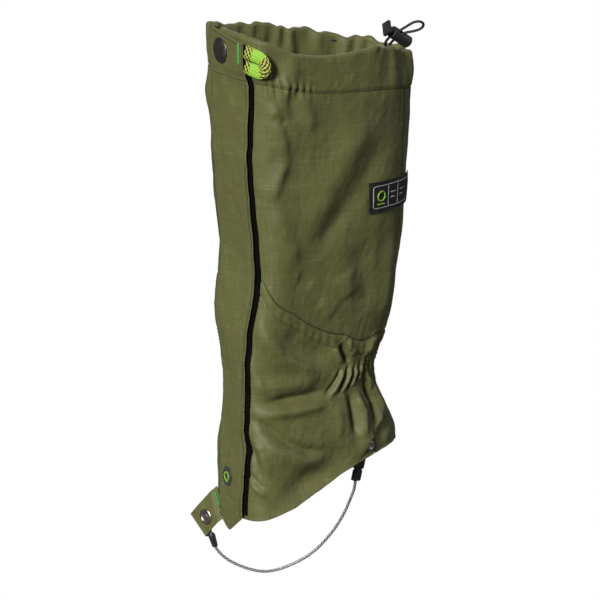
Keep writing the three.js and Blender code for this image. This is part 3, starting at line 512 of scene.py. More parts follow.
def closed_sheet(outer, inner):
    """Points and faces of a sheet between two grids whose borders meet."""
    rows, columns = outer.shape[:2]
    points = np.concatenate([outer.reshape(-1, 3), inner.reshape(-1, 3)])
    grid = np.arange(rows * columns).reshape(rows, columns)
    a, b, c, d = grid[:-1, :-1], grid[:-1, 1:], grid[1:, 1:], grid[1:, :-1]
    front = np.stack([a, b, c, d], -1).reshape(-1, 4)
    back = np.stack([a, d, c, b], -1).reshape(-1, 4) + rows * columns
    faces = [front, back]
    count = rows * columns
    for line in (grid[0], grid[-1], grid[:, 0], grid[:, -1]):
        faces.append(np.stack([line[:-1], line[1:], line[1:] + count, line[:-1] + count], -1))
    return points, np.concatenate(faces).tolist()


def sheet_places(left, right, foot, top, columns, rows, unit=1.0):
    """Places between two side lines and two lines in height, and how full the sheet is at each."""
    (share, inset, round_col), (rise, lift, round_row) = edge_steps(columns).T, edge_steps(rows).T
    z = np.full((len(rise), len(share)), 200.0)
    side = np.zeros_like(z)
    for _ in range(6):
        low, high = left(z), right(z)
        side = low + (high - low) * share[None, :] + unit * inset[None, :]
        z = foot(side) + (top(side) - foot(side)) * rise[:, None] + lift[:, None]
    return side, z, np.minimum(round_col[None, :], round_row[:, None])


def sheet_mesh(name, theta, z, middle, half, across):
    base = cloth_base(theta, z)
    points, faces = closed_sheet(raised(base, middle + half), raised(base, middle - half))
    flat = np.stack([across * MM, z * MM], -1).reshape(-1, 2)
    return mesh_object(name, points, faces, np.concatenate([flat, flat]), weld=True)


def body_sheet(name, left, right, foot, top, offset, thick, columns, rows, grooves=None):
    """Cloth on the body between two edge lines in angle and two in height, with rounded edges."""
    theta, z, full = sheet_places(left, right, foot, top, columns, rows, np.radians(1.0))
    middle = offset - thick / 2 + (grooves(theta, z) if grooves else 0.0)
    return sheet_mesh(name, theta, z, middle, thick / 2 * full, along(theta))


def shin_sheet(name, left, right, foot, top, offset, thick, columns, rows, grooves=None):
    """Cloth on the shin between two lines in x and two in height, with rounded edges."""
    x, z, full = sheet_places(left, right, foot, top, columns, rows)
    middle = offset(x, z) - thick / 2 + (grooves(x, z) if grooves else 0.0)
    return sheet_mesh(name, theta_at(x, z), z, middle, thick / 2 * full, x)


def steady(value):
    """A line or an offset that is the same everywhere."""
    return lambda place, z=0: value + 0 * place


def frame_at(origin, axis, across=(0, 0, 1)):
    """A 4 by 4 matrix whose Z runs along axis and X as near to across as it can be."""
    z = np.asarray(axis, float)
    z = z / np.linalg.norm(z)
    y = np.cross(z, np.asarray(across, float))
    y = y / np.linalg.norm(y)
    x = np.cross(y, z)
    made = np.identity(4)
    made[:3, 0], made[:3, 1], made[:3, 2], made[:3, 3] = x, y, z, origin
    return made


def placed(shape, matrix):
    """A shape in local millimetres, moved into the row's frame in metres."""
    points = np.asarray(shape[0], float)
    moved = (points @ matrix[:3, :3].T + matrix[:3, 3]) * MM
    return (moved, *shape[1:])


def turned(profile, sides=48):
    """A round piece about Z from (radius, height) pairs; a radius of 0 closes an end."""
    points, faces, rings = [], [], []
    for radius, height in profile:
        if radius < 1e-6:
            rings.append([len(points)])
            points.append((0, 0, height))
        else:
            ring = []
            for k in range(sides):
                a = 2 * math.pi * k / sides
                ring.append(len(points))
                points.append((radius * math.cos(a), radius * math.sin(a), height))
            rings.append(ring)
    for low, high in zip(rings, rings[1:]):
        for k in range(sides):
            n = (k + 1) % sides
            if len(low) == 1 and len(high) == 1:
                continue
            if len(low) == 1:
                faces.append([low[0], high[n], high[k]])
            elif len(high) == 1:
                faces.append([low[k], low[n], high[0]])
            else:
                faces.append([low[k], low[n], high[n], high[k]])
    return points, faces


def rounded_profile(corners, radius):
    """(radius, height) corners with each one softened."""
    made = []
    for k, (r, h) in enumerate(corners):
        if k in (0, len(corners) - 1) or r < 1e-6:
            made.append((r, h))
            continue
        here = np.array([r, h], float)
        before, after = np.array(corners[k - 1], float) - here, np.array(corners[k + 1], float) - here
        lb, la = np.linalg.norm(before), np.linalg.norm(after)
        cut = min(radius, 0.45 * lb, 0.45 * la)
        start, end = here + before / lb * cut, here + after / la * cut
        for t in (0, 0.25, 0.5, 0.75, 1):
            made.append(tuple((1 - t) ** 2 * start + 2 * t * (1 - t) * here + t * t * end))
    return made


def prism(outline, low, high, bevel=0.3):
    """An upright solid on a convex or gently concave outline, with softened rims."""
    outline = np.asarray(outline, float)
    ahead, behind = np.roll(outline, -1, 0), np.roll(outline, 1, 0)
    tangent = ahead - behind
    outward = np.stack([tangent[:, 1], -tangent[:, 0]], -1)
    outward /= np.linalg.norm(outward, axis=1, keepdims=True)
    area = 0.5 * float(np.sum(outline[:, 0] * ahead[:, 1] - ahead[:, 0] * outline[:, 1]))
    if area < 0:
        outward = -outward
    turns = [math.pi / 2 * k / 3 for k in range(4)]
    rim_steps = [(bevel * (1 - math.sin(a)), bevel * (1 - math.cos(a))) for a in turns]
    layers = [(inset, low + rise) for inset, rise in rim_steps]
    layers += [(inset, high - rise) for inset, rise in reversed(rim_steps)]
    points, faces, count = [], [], len(outline)
    for inset, height in layers:
        points += [(x, y, height) for x, y in outline - outward * inset]
    for layer in range(len(layers) - 1):
        for k in range(count):
            n = (k + 1) % count
            a, b = layer * count + k, layer * count + n
            faces.append([a, b, b + count, a + count])
    faces.append(list(range(count))[::-1])
    faces.append([(len(layers) - 1) * count + k for k in range(count)])
    return points, faces


def fine_curve(points, count):
    """Points at even steps along a centripetal Catmull-Rom curve."""
    p = np.asarray(points, float)
    p = np.concatenate([[2 * p[0] - p[1]], p, [2 * p[-1] - p[-2]]])
    made = []
    for k in range(1, len(p) - 2):
        p0, p1, p2, p3 = p[k - 1], p[k], p[k + 1], p[k + 2]
        t0 = 0.0
        t1 = t0 + np.linalg.norm(p1 - p0) ** 0.5
        t2 = t1 + np.linalg.norm(p2 - p1) ** 0.5
        t3 = t2 + np.linalg.norm(p3 - p2) ** 0.5
        for t in np.linspace(t1, t2, 24, endpoint=False):
            a1 = (t1 - t) / (t1 - t0) * p0 + (t - t0) / (t1 - t0) * p1
            a2 = (t2 - t) / (t2 - t1) * p1 + (t - t1) / (t2 - t1) * p2
            a3 = (t3 - t) / (t3 - t2) * p2 + (t - t2) / (t3 - t2) * p3
            b1 = (t2 - t) / (t2 - t0) * a1 + (t - t0) / (t2 - t0) * a2
            b2 = (t3 - t) / (t3 - t1) * a2 + (t - t1) / (t3 - t1) * a3
            made.append((t2 - t) / (t2 - t1) * b1 + (t - t1) / (t2 - t1) * b2)
    made.append(p[-2])
    made = np.array(made)
    run = run_along(made)
    even = np.linspace(0, run[-1], count)
    return np.stack([np.interp(even, run, made[:, k]) for k in range(3)], -1), float(run[-1])


def relaxed(path, holes, rounds):
    """Evens out a cord's bends, except at its ends and where holes guide it."""
    path = np.array(path, float)
    held = np.zeros(len(path))
    for hole in holes:
        held = np.maximum(held, np.exp(-((np.linalg.norm(path - hole, axis=1) / 3.2) ** 4)))
    held[:3] = held[-3:] = 1
    for _ in range(rounds):
        path[1:-1] += (1 - held[1:-1])[:, None] * 0.5 * ((path[:-2] + path[2:]) / 2 - path[1:-1])
    return path


def carried_frames(path):
    """A tangent and two cross axes at each point, without twist."""
    tangent = np.gradient(path, axis=0)
    tangent /= np.linalg.norm(tangent, axis=1, keepdims=True)
    first = np.cross(tangent[0], (0, 0, 1.0))
    if np.linalg.norm(first) < 1e-3:
        first = np.cross(tangent[0], (0, 1.0, 0))
    axes = [first / np.linalg.norm(first)]
    for t in tangent[1:]:
        a = axes[-1] - t * np.dot(axes[-1], t)
        axes.append(a / np.linalg.norm(a))
    axes = np.array(axes)
    return tangent, axes, np.cross(tangent, axes)


def run_along(path):
    return np.concatenate([[0], np.cumsum(np.linalg.norm(np.diff(path, axis=0), axis=1))])


def tube(path, radius, sides, relief=None, closed=False, squash=(1, 1), axes=None):
    """Points, faces and uv of a tube along a path. relief(run, angle) adds to the radius, in the path's unit."""
    path = np.asarray(path, float)
    _, a, b = carried_frames(path) if axes is None else axes
    run = run_along(path)
    turn = np.linspace(0, 2 * np.pi, sides, endpoint=False)
    r = np.repeat(np.broadcast_to(np.asarray(radius, float), (len(path),))[:, None], sides, 1)
    if relief is not None:
        r = r + relief(run[:, None], turn[None, :])
    ring = (path[:, None, :] + a[:, None, :] * (r * np.cos(turn) * squash[0])[..., None]
            + b[:, None, :] * (r * np.sin(turn) * squash[1])[..., None])
    uv = np.stack(np.broadcast_arrays(run[:, None], turn[None, :] / (2 * np.pi)), -1).reshape(-1, 2)
    faces = []
    rows = len(path)
    for j in range(rows - (0 if closed else 1)):
        n = (j + 1) % rows
        for k in range(sides):
            m = (k + 1) % sides
            faces.append([j * sides + k, j * sides + m, n * sides + m, n * sides + k])
    if not closed:
        faces.append(list(range(sides))[::-1])
        faces.append([(rows - 1) * sides + k for k in range(sides)])
    return ring.reshape(-1, 3), faces, uv


# One stitch, as (share of its length, width, height) of each of its rings.
STITCH_SHAPE = ((0, 0.35, -0.6), (0.12, 0.85, 0.3), (0.35, 1, 0.9), (0.65, 1, 0.9), (0.88, 0.85, 0.3), (1, 0.35, -0.6))


def stitch_row(path, face, pitch, radius=0.22, share=0.72, lift=0.12):
    """Stitches along a path (millimetres) that lies on a surface with normals face."""
    path, face = np.asarray(path, float), np.asarray(face, float)
    run = run_along(path)
    count = max(1, int(run[-1] // pitch))
    place = lambda values, s: np.array([np.interp(s, run, values[:, k]) for k in range(3)])
    shapes = []
    for k in range(count):
        start = (k + (1 - share) / 2) * run[-1] / count
        end = start + share * run[-1] / count
        stations = []
        for f, wide, high in STITCH_SHAPE:
            s = mix(start, end, f)
            n = place(face, s)
            n /= np.linalg.norm(n)
            stations.append((place(path, s) + n * (lift + high * radius), n, radius * wide))
        ahead = stations[-1][0] - stations[0][0]
        ahead /= np.linalg.norm(ahead)
        points, faces = [], []
        for centre, n, r in stations:
            side = np.cross(ahead, n)
            for q in range(6):
                a = 2 * math.pi * q / 6
                points.append(centre + r * (math.cos(a) * side + math.sin(a) * n))
        for j in range(5):
            for q in range(6):
                m = (q + 1) % 6
                faces.append([j * 6 + q, j * 6 + m, (j + 1) * 6 + m, (j + 1) * 6 + q])
        faces.append([5, 4, 3, 2, 1, 0])
        faces.append([30 + q for q in range(6)])
        shapes.append((np.array(points) * MM, faces))
    return shapes


# ------------------------------------------------------------------ materials


class Tree:
    """A short way to write a node tree."""

    def __init__(self, tree):
        self.tree = tree
        self.nodes = tree.nodes

    def add(self, kind, inputs=None, **attributes):
        node = self.nodes.new(kind)
        for key, value in attributes.items():
            setattr(node, key, value)
        for key, value in (inputs or {}).items():
            if isinstance(value, bpy.types.NodeSocket):
                self.tree.links.new(value, node.inputs[key])
            else:
                node.inputs[key].default_value = value
        return node

    def math(self, operation, *values):
        return self.add("ShaderNodeMath", dict(enumerate(values)), operation=operation).outputs[0]

    def blend(self, factor, a, b):
        node = self.add("ShaderNodeMix", data_type="RGBA")
        for key, value in (("Factor", factor), ("A", a), ("B", b)):
            kinds = ("VALUE",) if key == "Factor" else ("RGBA",)
            socket = next(s for s in node.inputs if s.name == key and s.enabled and s.type in kinds)
            if isinstance(value, bpy.types.NodeSocket):
                self.tree.links.new(value, socket)
            else:
                socket.default_value = (*value, 1) if key != "Factor" and len(value) == 3 else value
        return next(s for s in node.outputs if s.type == "RGBA")


def group(name, inputs, outputs, build):
    """A shader node group with named sockets, made once."""
    if name in bpy.data.node_groups:
        return bpy.data.node_groups[name]
    made = bpy.data.node_groups.new(name, "ShaderNodeTree")
    for label, kind, default in inputs:
        socket = made.interface.new_socket(name=label, in_out="INPUT", socket_type=kind)
        if default is not None:
            socket.default_value = default
    for label, kind in outputs:
        made.interface.new_socket(name=label, in_out="OUTPUT", socket_type=kind)
    tree = Tree(made)
    start, end = tree.add("NodeGroupInput"), tree.add("NodeGroupOutput")
    for label, socket in build(tree, start.outputs).items():
        made.links.new(socket, end.inputs[label])
    return made


def yarn_group():
    """Crossed yarns: relief, the heavy ripstop yarns and a streak for each yarn."""

    def build(t, source):
        parts = t.add("ShaderNodeSeparateXYZ", {0: source["Vector"]}).outputs
        relief, heavy, streak = [], [], []
        for axis, other, seed in ((0, 1, 3.1), (1, 0, 7.7)):
            phase = t.math("MULTIPLY", t.math("DIVIDE", parts[axis], source["Pitch"]), 2 * math.pi)
            relief.append(t.math("MULTIPLY_ADD", t.math("COSINE", phase), 0.5, 0.5))
            cell = t.math("DIVIDE", parts[axis], source["Grid"])
            from_line = t.math("ABSOLUTE", t.math("SUBTRACT", t.math("FRACT", cell), 0.5))
            edge = t.math("SUBTRACT", 0.5, t.math("DIVIDE", source["Pitch"], source["Grid"]))
            heavy.append(t.math("GREATER_THAN", from_line, edge))
            index = t.math("FLOOR", t.math("DIVIDE", parts[axis], source["Pitch"]))
            place = {0: t.math("MULTIPLY", index, 0.731), 1: t.math("MULTIPLY", parts[other], 45.0), 2: seed}
            lane = t.add("ShaderNodeCombineXYZ", place)
            noise = t.add("ShaderNodeTexNoise", {"Vector": lane.outputs[0], "Scale": 1.0, "Detail": 1.0})
            streak.append(noise.outputs["Fac"])
        over = t.math("MAXIMUM", relief[0], relief[1])
        lines = t.math("MAXIMUM", heavy[0], heavy[1])
        height = t.math("ADD", over, t.math("MULTIPLY", lines, 0.25))
        mixed = t.math("MULTIPLY", t.math("ADD", streak[0], streak[1]), 0.5)
        return {"Relief": height, "Heavy": lines, "Streak": mixed}

    return group(
        "Crossed yarns",
        (("Vector", "NodeSocketVector", None), ("Pitch", "NodeSocketFloat", 0.001), ("Grid", "NodeSocketFloat", 0.005)),
        (("Relief", "NodeSocketFloat"), ("Heavy", "NodeSocketFloat"), ("Streak", "NodeSocketFloat")), build)


def mottle_group():
    """Soft uneven patches, as a factor from 0 to 1."""

    def build(t, source):
        wide = t.add("ShaderNodeTexNoise", {"Vector": source["Vector"], "Scale": source["Scale"], "Detail": 3.0})
        finer = t.math("MULTIPLY", source["Scale"], 9.0)
        fine = t.add("ShaderNodeTexNoise", {"Vector": source["Vector"], "Scale": finer, "Detail": 2.0})
        both = t.math("ADD", t.math("MULTIPLY", wide.outputs["Fac"], 0.7), t.math("MULTIPLY", fine.outputs["Fac"], 0.3))
        spread = t.add("ShaderNodeMapRange", {0: both, 1: 0.3, 2: 0.7, 3: 0.0, 4: 1.0})
        return {"Patch": spread.outputs[0]}

    return group("Uneven patches", (("Vector", "NodeSocketVector", None), ("Scale", "NodeSocketFloat", 20.0)),
                 (("Patch", "NodeSocketFloat"),), build)


def place_group(t, made, inputs):
    node = t.add("ShaderNodeGroup", node_tree=made)
    for key, value in inputs.items():
        if isinstance(value, bpy.types.NodeSocket):
            t.tree.links.new(value, node.inputs[key])
        else:
            node.inputs[key].default_value = value
    return node.outputs


def fresh_material(name):
    """A material with its Principled shader, ready for nodes."""
    made = bpy.data.materials.new(name)
    made.use_nodes = True
    t = Tree(made.node_tree)
    shader = next(n for n in t.nodes if n.type == "BSDF_PRINCIPLED")
    return made, t, shader


def surface_vector(t, layer=None):
    if layer:
        return t.add("ShaderNodeUVMap", uv_map=layer).outputs[0]
    return t.add("ShaderNodeTexCoord").outputs["Object"]


def cloth_material(name, base, dark, pale, pitch, grid, relief=0.00008, roughness=0.5, sheen=0.05, heavy=0.07,
                   streaks=0.5, layer="cloth", specular=0.3):
    made, t, shader = fresh_material(name)
    vector = surface_vector(t, layer)
    yarns = place_group(t, yarn_group(), {"Vector": vector, "Pitch": pitch * MM, "Grid": grid * MM})
    patch = place_group(t, mottle_group(), {"Vector": surface_vector(t), "Scale": 22.0})["Patch"]
    spread = t.add("ShaderNodeMapRange", {0: yarns["Streak"], 1: 0.36, 2: 0.66, 3: 0.0, 4: 1.0}).outputs[0]
    tone = t.blend(t.math("MULTIPLY", spread, streaks), dark, base)
    tone = t.blend(t.math("MULTIPLY", t.math("GREATER_THAN", yarns["Streak"], 0.62), 0.35), tone, pale)
    tone = t.blend(t.math("MULTIPLY", yarns["Heavy"], heavy), tone, pale)
    tone = t.blend(t.math("MULTIPLY", patch, 0.22), tone, dark)
    t.tree.links.new(tone, shader.inputs["Base Color"])
    rough = t.math("MULTIPLY_ADD", patch, 0.10, roughness)
    t.tree.links.new(rough, shader.inputs["Roughness"])
    bump = t.add("ShaderNodeBump", {"Height": yarns["Relief"], "Strength": 0.5, "Distance": relief})
    t.tree.links.new(bump.outputs[0], shader.inputs["Normal"])
    shader.inputs["Sheen Weight"].default_value = sheen
    shader.inputs["Sheen Roughness"].default_value = 0.4
    shader.inputs["Specular IOR Level"].default_value = specular
    return made


def metal_material(name, colour, roughness):
    """Plated metal: darker in patches, scratched and brighter where it is rubbed."""
    made, t, shader = fresh_material(name)
    vector = surface_vector(t)
    patch = place_group(t, mottle_group(), {"Vector": vector, "Scale": 160.0})["Patch"]
    scratch = t.add("ShaderNodeTexNoise", {"Vector": vector, "Scale": 900.0, "Detail": 2.0}).outputs["Fac"]
    pale = tuple(min(1.0, c * 2.0) for c in colour)
    tone = t.blend(t.math("MULTIPLY", patch, 0.5), colour, pale)
    tone = t.blend(t.math("MULTIPLY", t.math("GREATER_THAN", scratch, 0.62), 0.3), tone, pale)
    t.tree.links.new(tone, shader.inputs["Base Color"])
    shader.inputs["Metallic"].default_value = 1.0
    t.tree.links.new(t.math("MULTIPLY_ADD", patch, 0.16, roughness), shader.inputs["Roughness"])
    bump = t.add("ShaderNodeBump", {"Height": scratch, "Strength": 0.25, "Distance": 0.00003})
    t.tree.links.new(bump.outputs[0], shader.inputs["Normal"])
    return made


def plastic_material(name, colour, roughness=0.42):
    """Moulded plastic with a fine grain and worn, slightly paler patches."""
    made, t, shader = fresh_material(name)
    vector = surface_vector(t)
    patch = place_group(t, mottle_group(), {"Vector": vector, "Scale": 120.0})["Patch"]
    pale = tuple(min(1.0, c * 2.6 + 0.006) for c in colour)
    t.tree.links.new(t.blend(t.math("MULTIPLY", patch, 0.4), colour, pale), shader.inputs["Base Color"])
    t.tree.links.new(t.math("MULTIPLY_ADD", patch, 0.14, roughness), shader.inputs["Roughness"])
    noise = t.add("ShaderNodeTexNoise", {"Vector": vector, "Scale": 2600.0, "Detail": 1.0}).outputs["Fac"]
    bump = t.add("ShaderNodeBump", {"Height": noise, "Strength": 0.3, "Distance": 0.00006})
    t.tree.links.new(bump.outputs[0], shader.inputs["Normal"])
    return made


def braid_material(name, base, dark, pitch_along, pitch_round, depth=0.00018, roughness=0.6):
    """Braided yarns on a tube whose uv is (metres along, turns round), with painted shade in the hollows between yarns.
    """
    made, t, shader = fresh_material(name)
    parts = t.add("ShaderNodeSeparateXYZ", {0: surface_vector(t, "cloth")}).outputs
    length = t.math("DIVIDE", parts[0], pitch_along * MM)
    turn = t.math("MULTIPLY", parts[1], pitch_round)
    one = t.math("COSINE", t.math("MULTIPLY", t.math("ADD", length, turn), 2 * math.pi))
    two = t.math("COSINE", t.math("MULTIPLY", t.math("SUBTRACT", length, turn), 2 * math.pi))
    height = t.math("MULTIPLY_ADD", t.math("MULTIPLY", one, two), 0.5, 0.5)
    patch = place_group(t, mottle_group(), {"Vector": surface_vector(t), "Scale": 300.0})["Patch"]
    # Painted shade: where the yarn relief is low, between the yarns, the colour goes to the dark tone.
    tone = t.blend(height, dark, base)
    tone = t.blend(t.math("MULTIPLY", patch, 0.3), tone, dark)
    t.tree.links.new(tone, shader.inputs["Base Color"])
    shader.inputs["Roughness"].default_value = roughness
    t.tree.links.new(t.math("MULTIPLY_ADD", patch, 0.15, roughness), shader.inputs["Roughness"])
    bump = t.add("ShaderNodeBump", {"Height": height, "Strength": 0.8, "Distance": depth})
    t.tree.links.new(bump.outputs[0], shader.inputs["Normal"])
    return made


def thread_material(name, colour):
    made, t, shader = fresh_material(name)
    vector = surface_vector(t)
    patch = place_group(t, mottle_group(), {"Vector": vector, "Scale": 500.0})["Patch"]
    dark = tuple(c * 0.55 for c in colour)
    t.tree.links.new(t.blend(patch, dark, colour), shader.inputs["Base Color"])
    t.tree.links.new(t.math("MULTIPLY_ADD", patch, 0.2, 0.5), shader.inputs["Roughness"])
    twist = t.add("ShaderNodeTexWave", {"Vector": vector, "Scale": 700.0, "Distortion": 1.0}).outputs["Fac"]
    bump = t.add("ShaderNodeBump", {"Height": twist, "Strength": 0.3, "Distance": 0.00005})
    t.tree.links.new(bump.outputs[0], shader.inputs["Normal"])
    return made


MATERIALS = {}


def greys(*values):
    return [(value,) * 3 for value in values]


def material(name):
    """The gaiter's materials, each made when it is first asked for."""
    if name in MATERIALS:
        return MATERIALS[name]
    cloth, trim = bpy.context.scene.gaiter_cloth, bpy.context.scene.gaiter_trim
    olive, dark, pale = tuple(cloth.olive), tuple(cloth.olive_dark), tuple(cloth.olive_pale)
    black = tuple(cloth.black)
    soft_black = tuple(c * 1.9 for c in black)
    makers = {
        "body cloth": lambda: cloth_material("body cloth", olive, dark, pale, cloth.yarn, cloth.ripstop),
        "flap cloth": lambda: cloth_material("flap cloth", olive, dark, pale, 0.7, 60.0, heavy=0.0, streaks=0.7),
        "lining cloth": lambda: cloth_material("lining cloth", black, black, soft_black, 0.6, 4.0, roughness=0.75),
        "elastic": lambda: cloth_material("elastic", black, black, soft_black, 1.6, 6.0, relief=0.0003, roughness=0.8),
        "tape pile": lambda: cloth_material(
            "tape pile", *greys(0.004, 0.003, 0.009), 0.8, 50.0, relief=0.0004, roughness=0.95, sheen=0.0, heavy=0.0,
            specular=0.04),
        "webbing": lambda: cloth_material("webbing", olive, dark, pale, 1.1, 60.0, relief=0.0002, heavy=0.0, streaks=0.8),
        "olive thread": lambda: thread_material("olive thread", tuple(c * 0.62 for c in olive)),
        "green thread": lambda: thread_material("green thread", tuple(trim.bright_thread)),
        "mark thread": lambda: thread_material("mark thread", tuple(c * 0.8 for c in trim.bright)),
        "white thread": lambda: thread_material("white thread", (0.42, 0.43, 0.42)),
        "label weave": lambda: cloth_material(
            "label weave", (0.010, 0.010, 0.011), (0.006, 0.006, 0.007), (0.03, 0.03, 0.032), 0.45, 40.0,
            relief=0.0001, heavy=0.0, layer=None),
        "badge rubber": lambda: plastic_material("badge rubber", (0.020, 0.021, 0.020), 0.55),
        "plating": lambda: metal_material("plating", tuple(trim.metal), 0.30),
        "bright plating": lambda: metal_material("bright plating", tuple(c * 1.9 for c in trim.metal), 0.26),
        "hidden steel": lambda: metal_material("hidden steel", (0.45, 0.45, 0.46), 0.35),
        "plastic": lambda: plastic_material("plastic", tuple(trim.plastic)),
        "cord": lambda: braid_material("cord", (0.020, 0.020, 0.022), (0.004, 0.004, 0.005), 1.6, 4.0),
        "loop braid": loop_material,
        "cable": cable_material,
    }
    MATERIALS[name] = makers[name]()
    return MATERIALS[name]


def loop_material():
    """Bright braid with dark diagonal yarns in bands, and painted shade in the hollows between yarns; uv is (metres
    along, turns round).
    """
    trim = bpy.context.scene.gaiter_trim
    bright, fleck = tuple(trim.bright), tuple(trim.fleck)
    made, t, shader = fresh_material("loop braid")
    parts = t.add("ShaderNodeSeparateXYZ", {0: surface_vector(t, "cloth")}).outputs
    length = t.math("DIVIDE", parts[0], 3.4 * MM)
    turn = t.math("MULTIPLY", parts[1], 7.0)
    one = t.math("COSINE", t.math("MULTIPLY", t.math("ADD", length, turn), 2 * math.pi))
    two = t.math("COSINE", t.math("MULTIPLY", t.math("SUBTRACT", length, turn), 2 * math.pi))
    height = t.math("MULTIPLY_ADD", t.math("MULTIPLY", one, two), 0.5, 0.5)
    stripe = t.math("GREATER_THAN", t.math("ADD", two, t.math("MULTIPLY", one, 0.6)), -0.1)
    # Dark yarns come to the face in bands: at both ends and in the middle.
    band = t.math("COSINE", t.math("MULTIPLY", t.math("DIVIDE", parts[0], 24.0 * MM), 2 * math.pi))
    shown = t.add("ShaderNodeMapRange", {0: band, 1: -0.35, 2: -0.1, 3: 0.0, 4: 1.0}).outputs[0]
    dark = t.math("MULTIPLY", stripe, shown)
    # Painted shade: a darker copy of the bright yarn fills the low parts of the yarn relief.
    shade = tuple(c * 0.55 for c in bright)
    yellow = (0.50, 0.44, 0.05)
    tone = t.blend(height, shade, bright)
    tone = t.blend(t.math("MULTIPLY", shown, 0.55), tone, yellow)
    tone = t.blend(dark, tone, fleck)
    t.tree.links.new(tone, shader.inputs["Base Color"])
    shader.inputs["Roughness"].default_value = 0.65
    bump = t.add("ShaderNodeBump", {"Height": height, "Strength": 0.9, "Distance": 0.0003})
    t.tree.links.new(bump.outputs[0], shader.inputs["Normal"])
    return made


def cable_material():
    """Twisted wires under a clear coat, with painted shade in the gaps between strands and between wires; uv is (metres
    along, turns round).
    """
    trim = bpy.context.scene.gaiter_trim
    steel = tuple(trim.steel)
    made, t, shader = fresh_material("cable")
    parts = t.add("ShaderNodeSeparateXYZ", {0: surface_vector(t, "cloth")}).outputs
    length = t.math("DIVIDE", parts[0], trim.cable_turn * MM)
    strand = t.math("MULTIPLY", t.math("ADD", length, parts[1]), 6.0)
    wave = t.math("COSINE", t.math("MULTIPLY", strand, 2 * math.pi))
    pair = t.math("COSINE", t.math("MULTIPLY", strand, math.pi))
    lay = t.math("ADD", t.math("MULTIPLY", length, -14.0), t.math("MULTIPLY", parts[1], 20.0))
    wire = t.math("COSINE", t.math("MULTIPLY", lay, 2 * math.pi))
    # Painted shade: the gaps between strands and the grooves between wires, where the relief is low, are darkened.
    gap = t.add("ShaderNodeMapRange", {0: wave, 1: -0.9, 2: 0.1, 3: 1.0, 4: 0.0}).outputs[0]
    tone = t.blend(gap, steel, (0.03, 0.031, 0.034))
    tone = t.blend(t.math("MULTIPLY", t.math("LESS_THAN", pair, -0.2), 0.8), tone, (0.06, 0.062, 0.068))
    tone = t.blend(t.math("MULTIPLY", t.math("LESS_THAN", wire, -0.2), 0.35), tone, (0.12, 0.12, 0.13))
    t.tree.links.new(tone, shader.inputs["Base Color"])
    shader.inputs["Metallic"].default_value = 0.3
    shader.inputs["Roughness"].default_value = 0.34
    shader.inputs["Coat Weight"].default_value = 0.6
    shader.inputs["Coat Roughness"].default_value = 0.12
    height = t.math("ADD", wave, t.math("MULTIPLY", wire, 0.3))
    bump = t.add("ShaderNodeBump", {"Height": height, "Strength": 0.6, "Distance": 0.00015})
    t.tree.links.new(bump.outputs[0], shader.inputs["Normal"])
    return made


def finish_piece(piece, look, body, slot, *nodes):
    """Gives a piece its material and its body (unless it crosses a joint), and hides the CAD nodes it stands for; slot
    is not used.
    """
    piece.data.materials.clear()
    piece.data.materials.append(material(look))
    if body:
        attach(piece, body)
    if nodes:
        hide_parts(*nodes)
    return piece


def dress_node(name, look):
    """A CAD node that stays as it is gets its material."""
    node = NODES[name]
    if not node.data.materials:
        node.data.materials.append(None)
    for slot in node.material_slots:
        slot.link = "OBJECT"
        slot.material = material(look)


# ------------------------------------------------------------------ places shared by several pieces

CLOTH = 1.0
GAP = 0.3
LOOP_FACE = 1.6
HOOK_FACE = LOOP_FACE + 1.3
FLAP_BACK = HOOK_FACE + GAP
FLAP_FACE = FLAP_BACK + CLOTH
TAB_FACE = FLAP_FACE + 1.3
TOP_SNAP = (-3.4, RIM_LEVEL - 2.0)
RIVET_ANGLE = math.radians(38)
RIVET_LEVEL = 57.0


def shin_place(x, z, out):
    """A point of the smooth shin and its outward direction, in millimetres."""
    theta = theta_at(x, z)
    px, py = section(theta, np.asarray(float(z)))
    nx, ny = normal(theta, np.asarray(float(z)))
    aside = sway(theta, np.asarray(float(z)))
    return np.array([px + nx * out + aside[0], py + ny * out + aside[1], z], float), np.array([nx, ny, 0], float)


def side_place(theta, z, out):
    px, py = section(np.asarray(theta), np.asarray(float(z)))
    nx, ny = normal(np.asarray(theta), np.asarray(float(z)))
    return np.array([px + nx * out, py + ny * out, z], float), np.array([nx, ny, 0], float)


RIVET_POINT, RIVET_AXIS = side_place(RIVET_ANGLE, RIVET_LEVEL, 0)
TAB_OUT = np.array([0.3, -0.954, 0]) / math.hypot(0.3, 0.954)
TAB_ALONG = np.array([0.954, 0.3, 0]) / math.hypot(0.3, 0.954)
TAB_ORIGIN = np.array([-24.9, -81.6, 0])
FOLD_TOP = np.array([-27.3, -9.0])
ACROSS = np.array([0.723, -0.691])
UPWARD = np.array([0.691, 0.723])
STRAP_WIDTH = 24.8
SNAP_SPOT = np.array([-8.6, -8.4])
LEAF = 1.0
LEAF_SPACE = 4.0
FOLD_RADIUS = LEAF_SPACE / 2 + LEAF
TAB_FRAME = np.identity(4)
TAB_FRAME[:3, 0], TAB_FRAME[:3, 1], TAB_FRAME[:3, 2], TAB_FRAME[:3, 3] = TAB_ALONG, (0, 0, 1), TAB_OUT, TAB_ORIGIN


def on_tab(x, y, depth):
    return TAB_ORIGIN + TAB_ALONG * x + np.array([0, 0, y]) + TAB_OUT * depth


BALL = on_tab(-7.6, -17.2, -LEAF - LEAF_SPACE / 2)
PIVOT = RIVET_POINT - 7.4 * RIVET_AXIS
CABLE_RUN = (PIVOT - BALL) * (1, 1, 0)
PIVOT_ALONG = float(np.linalg.norm(CABLE_RUN))
CABLE_RUN = CABLE_RUN / PIVOT_ALONG


def on_cable(run, z):
    point = BALL + CABLE_RUN * run
    point[2] = z
    return point


SLEEVE_FOOT = on_cable(PIVOT_ALONG - 6.8, 24.4)
SLEEVE_AXIS = (PIVOT - SLEEVE_FOOT) / np.linalg.norm(PIVOT - SLEEVE_FOOT)

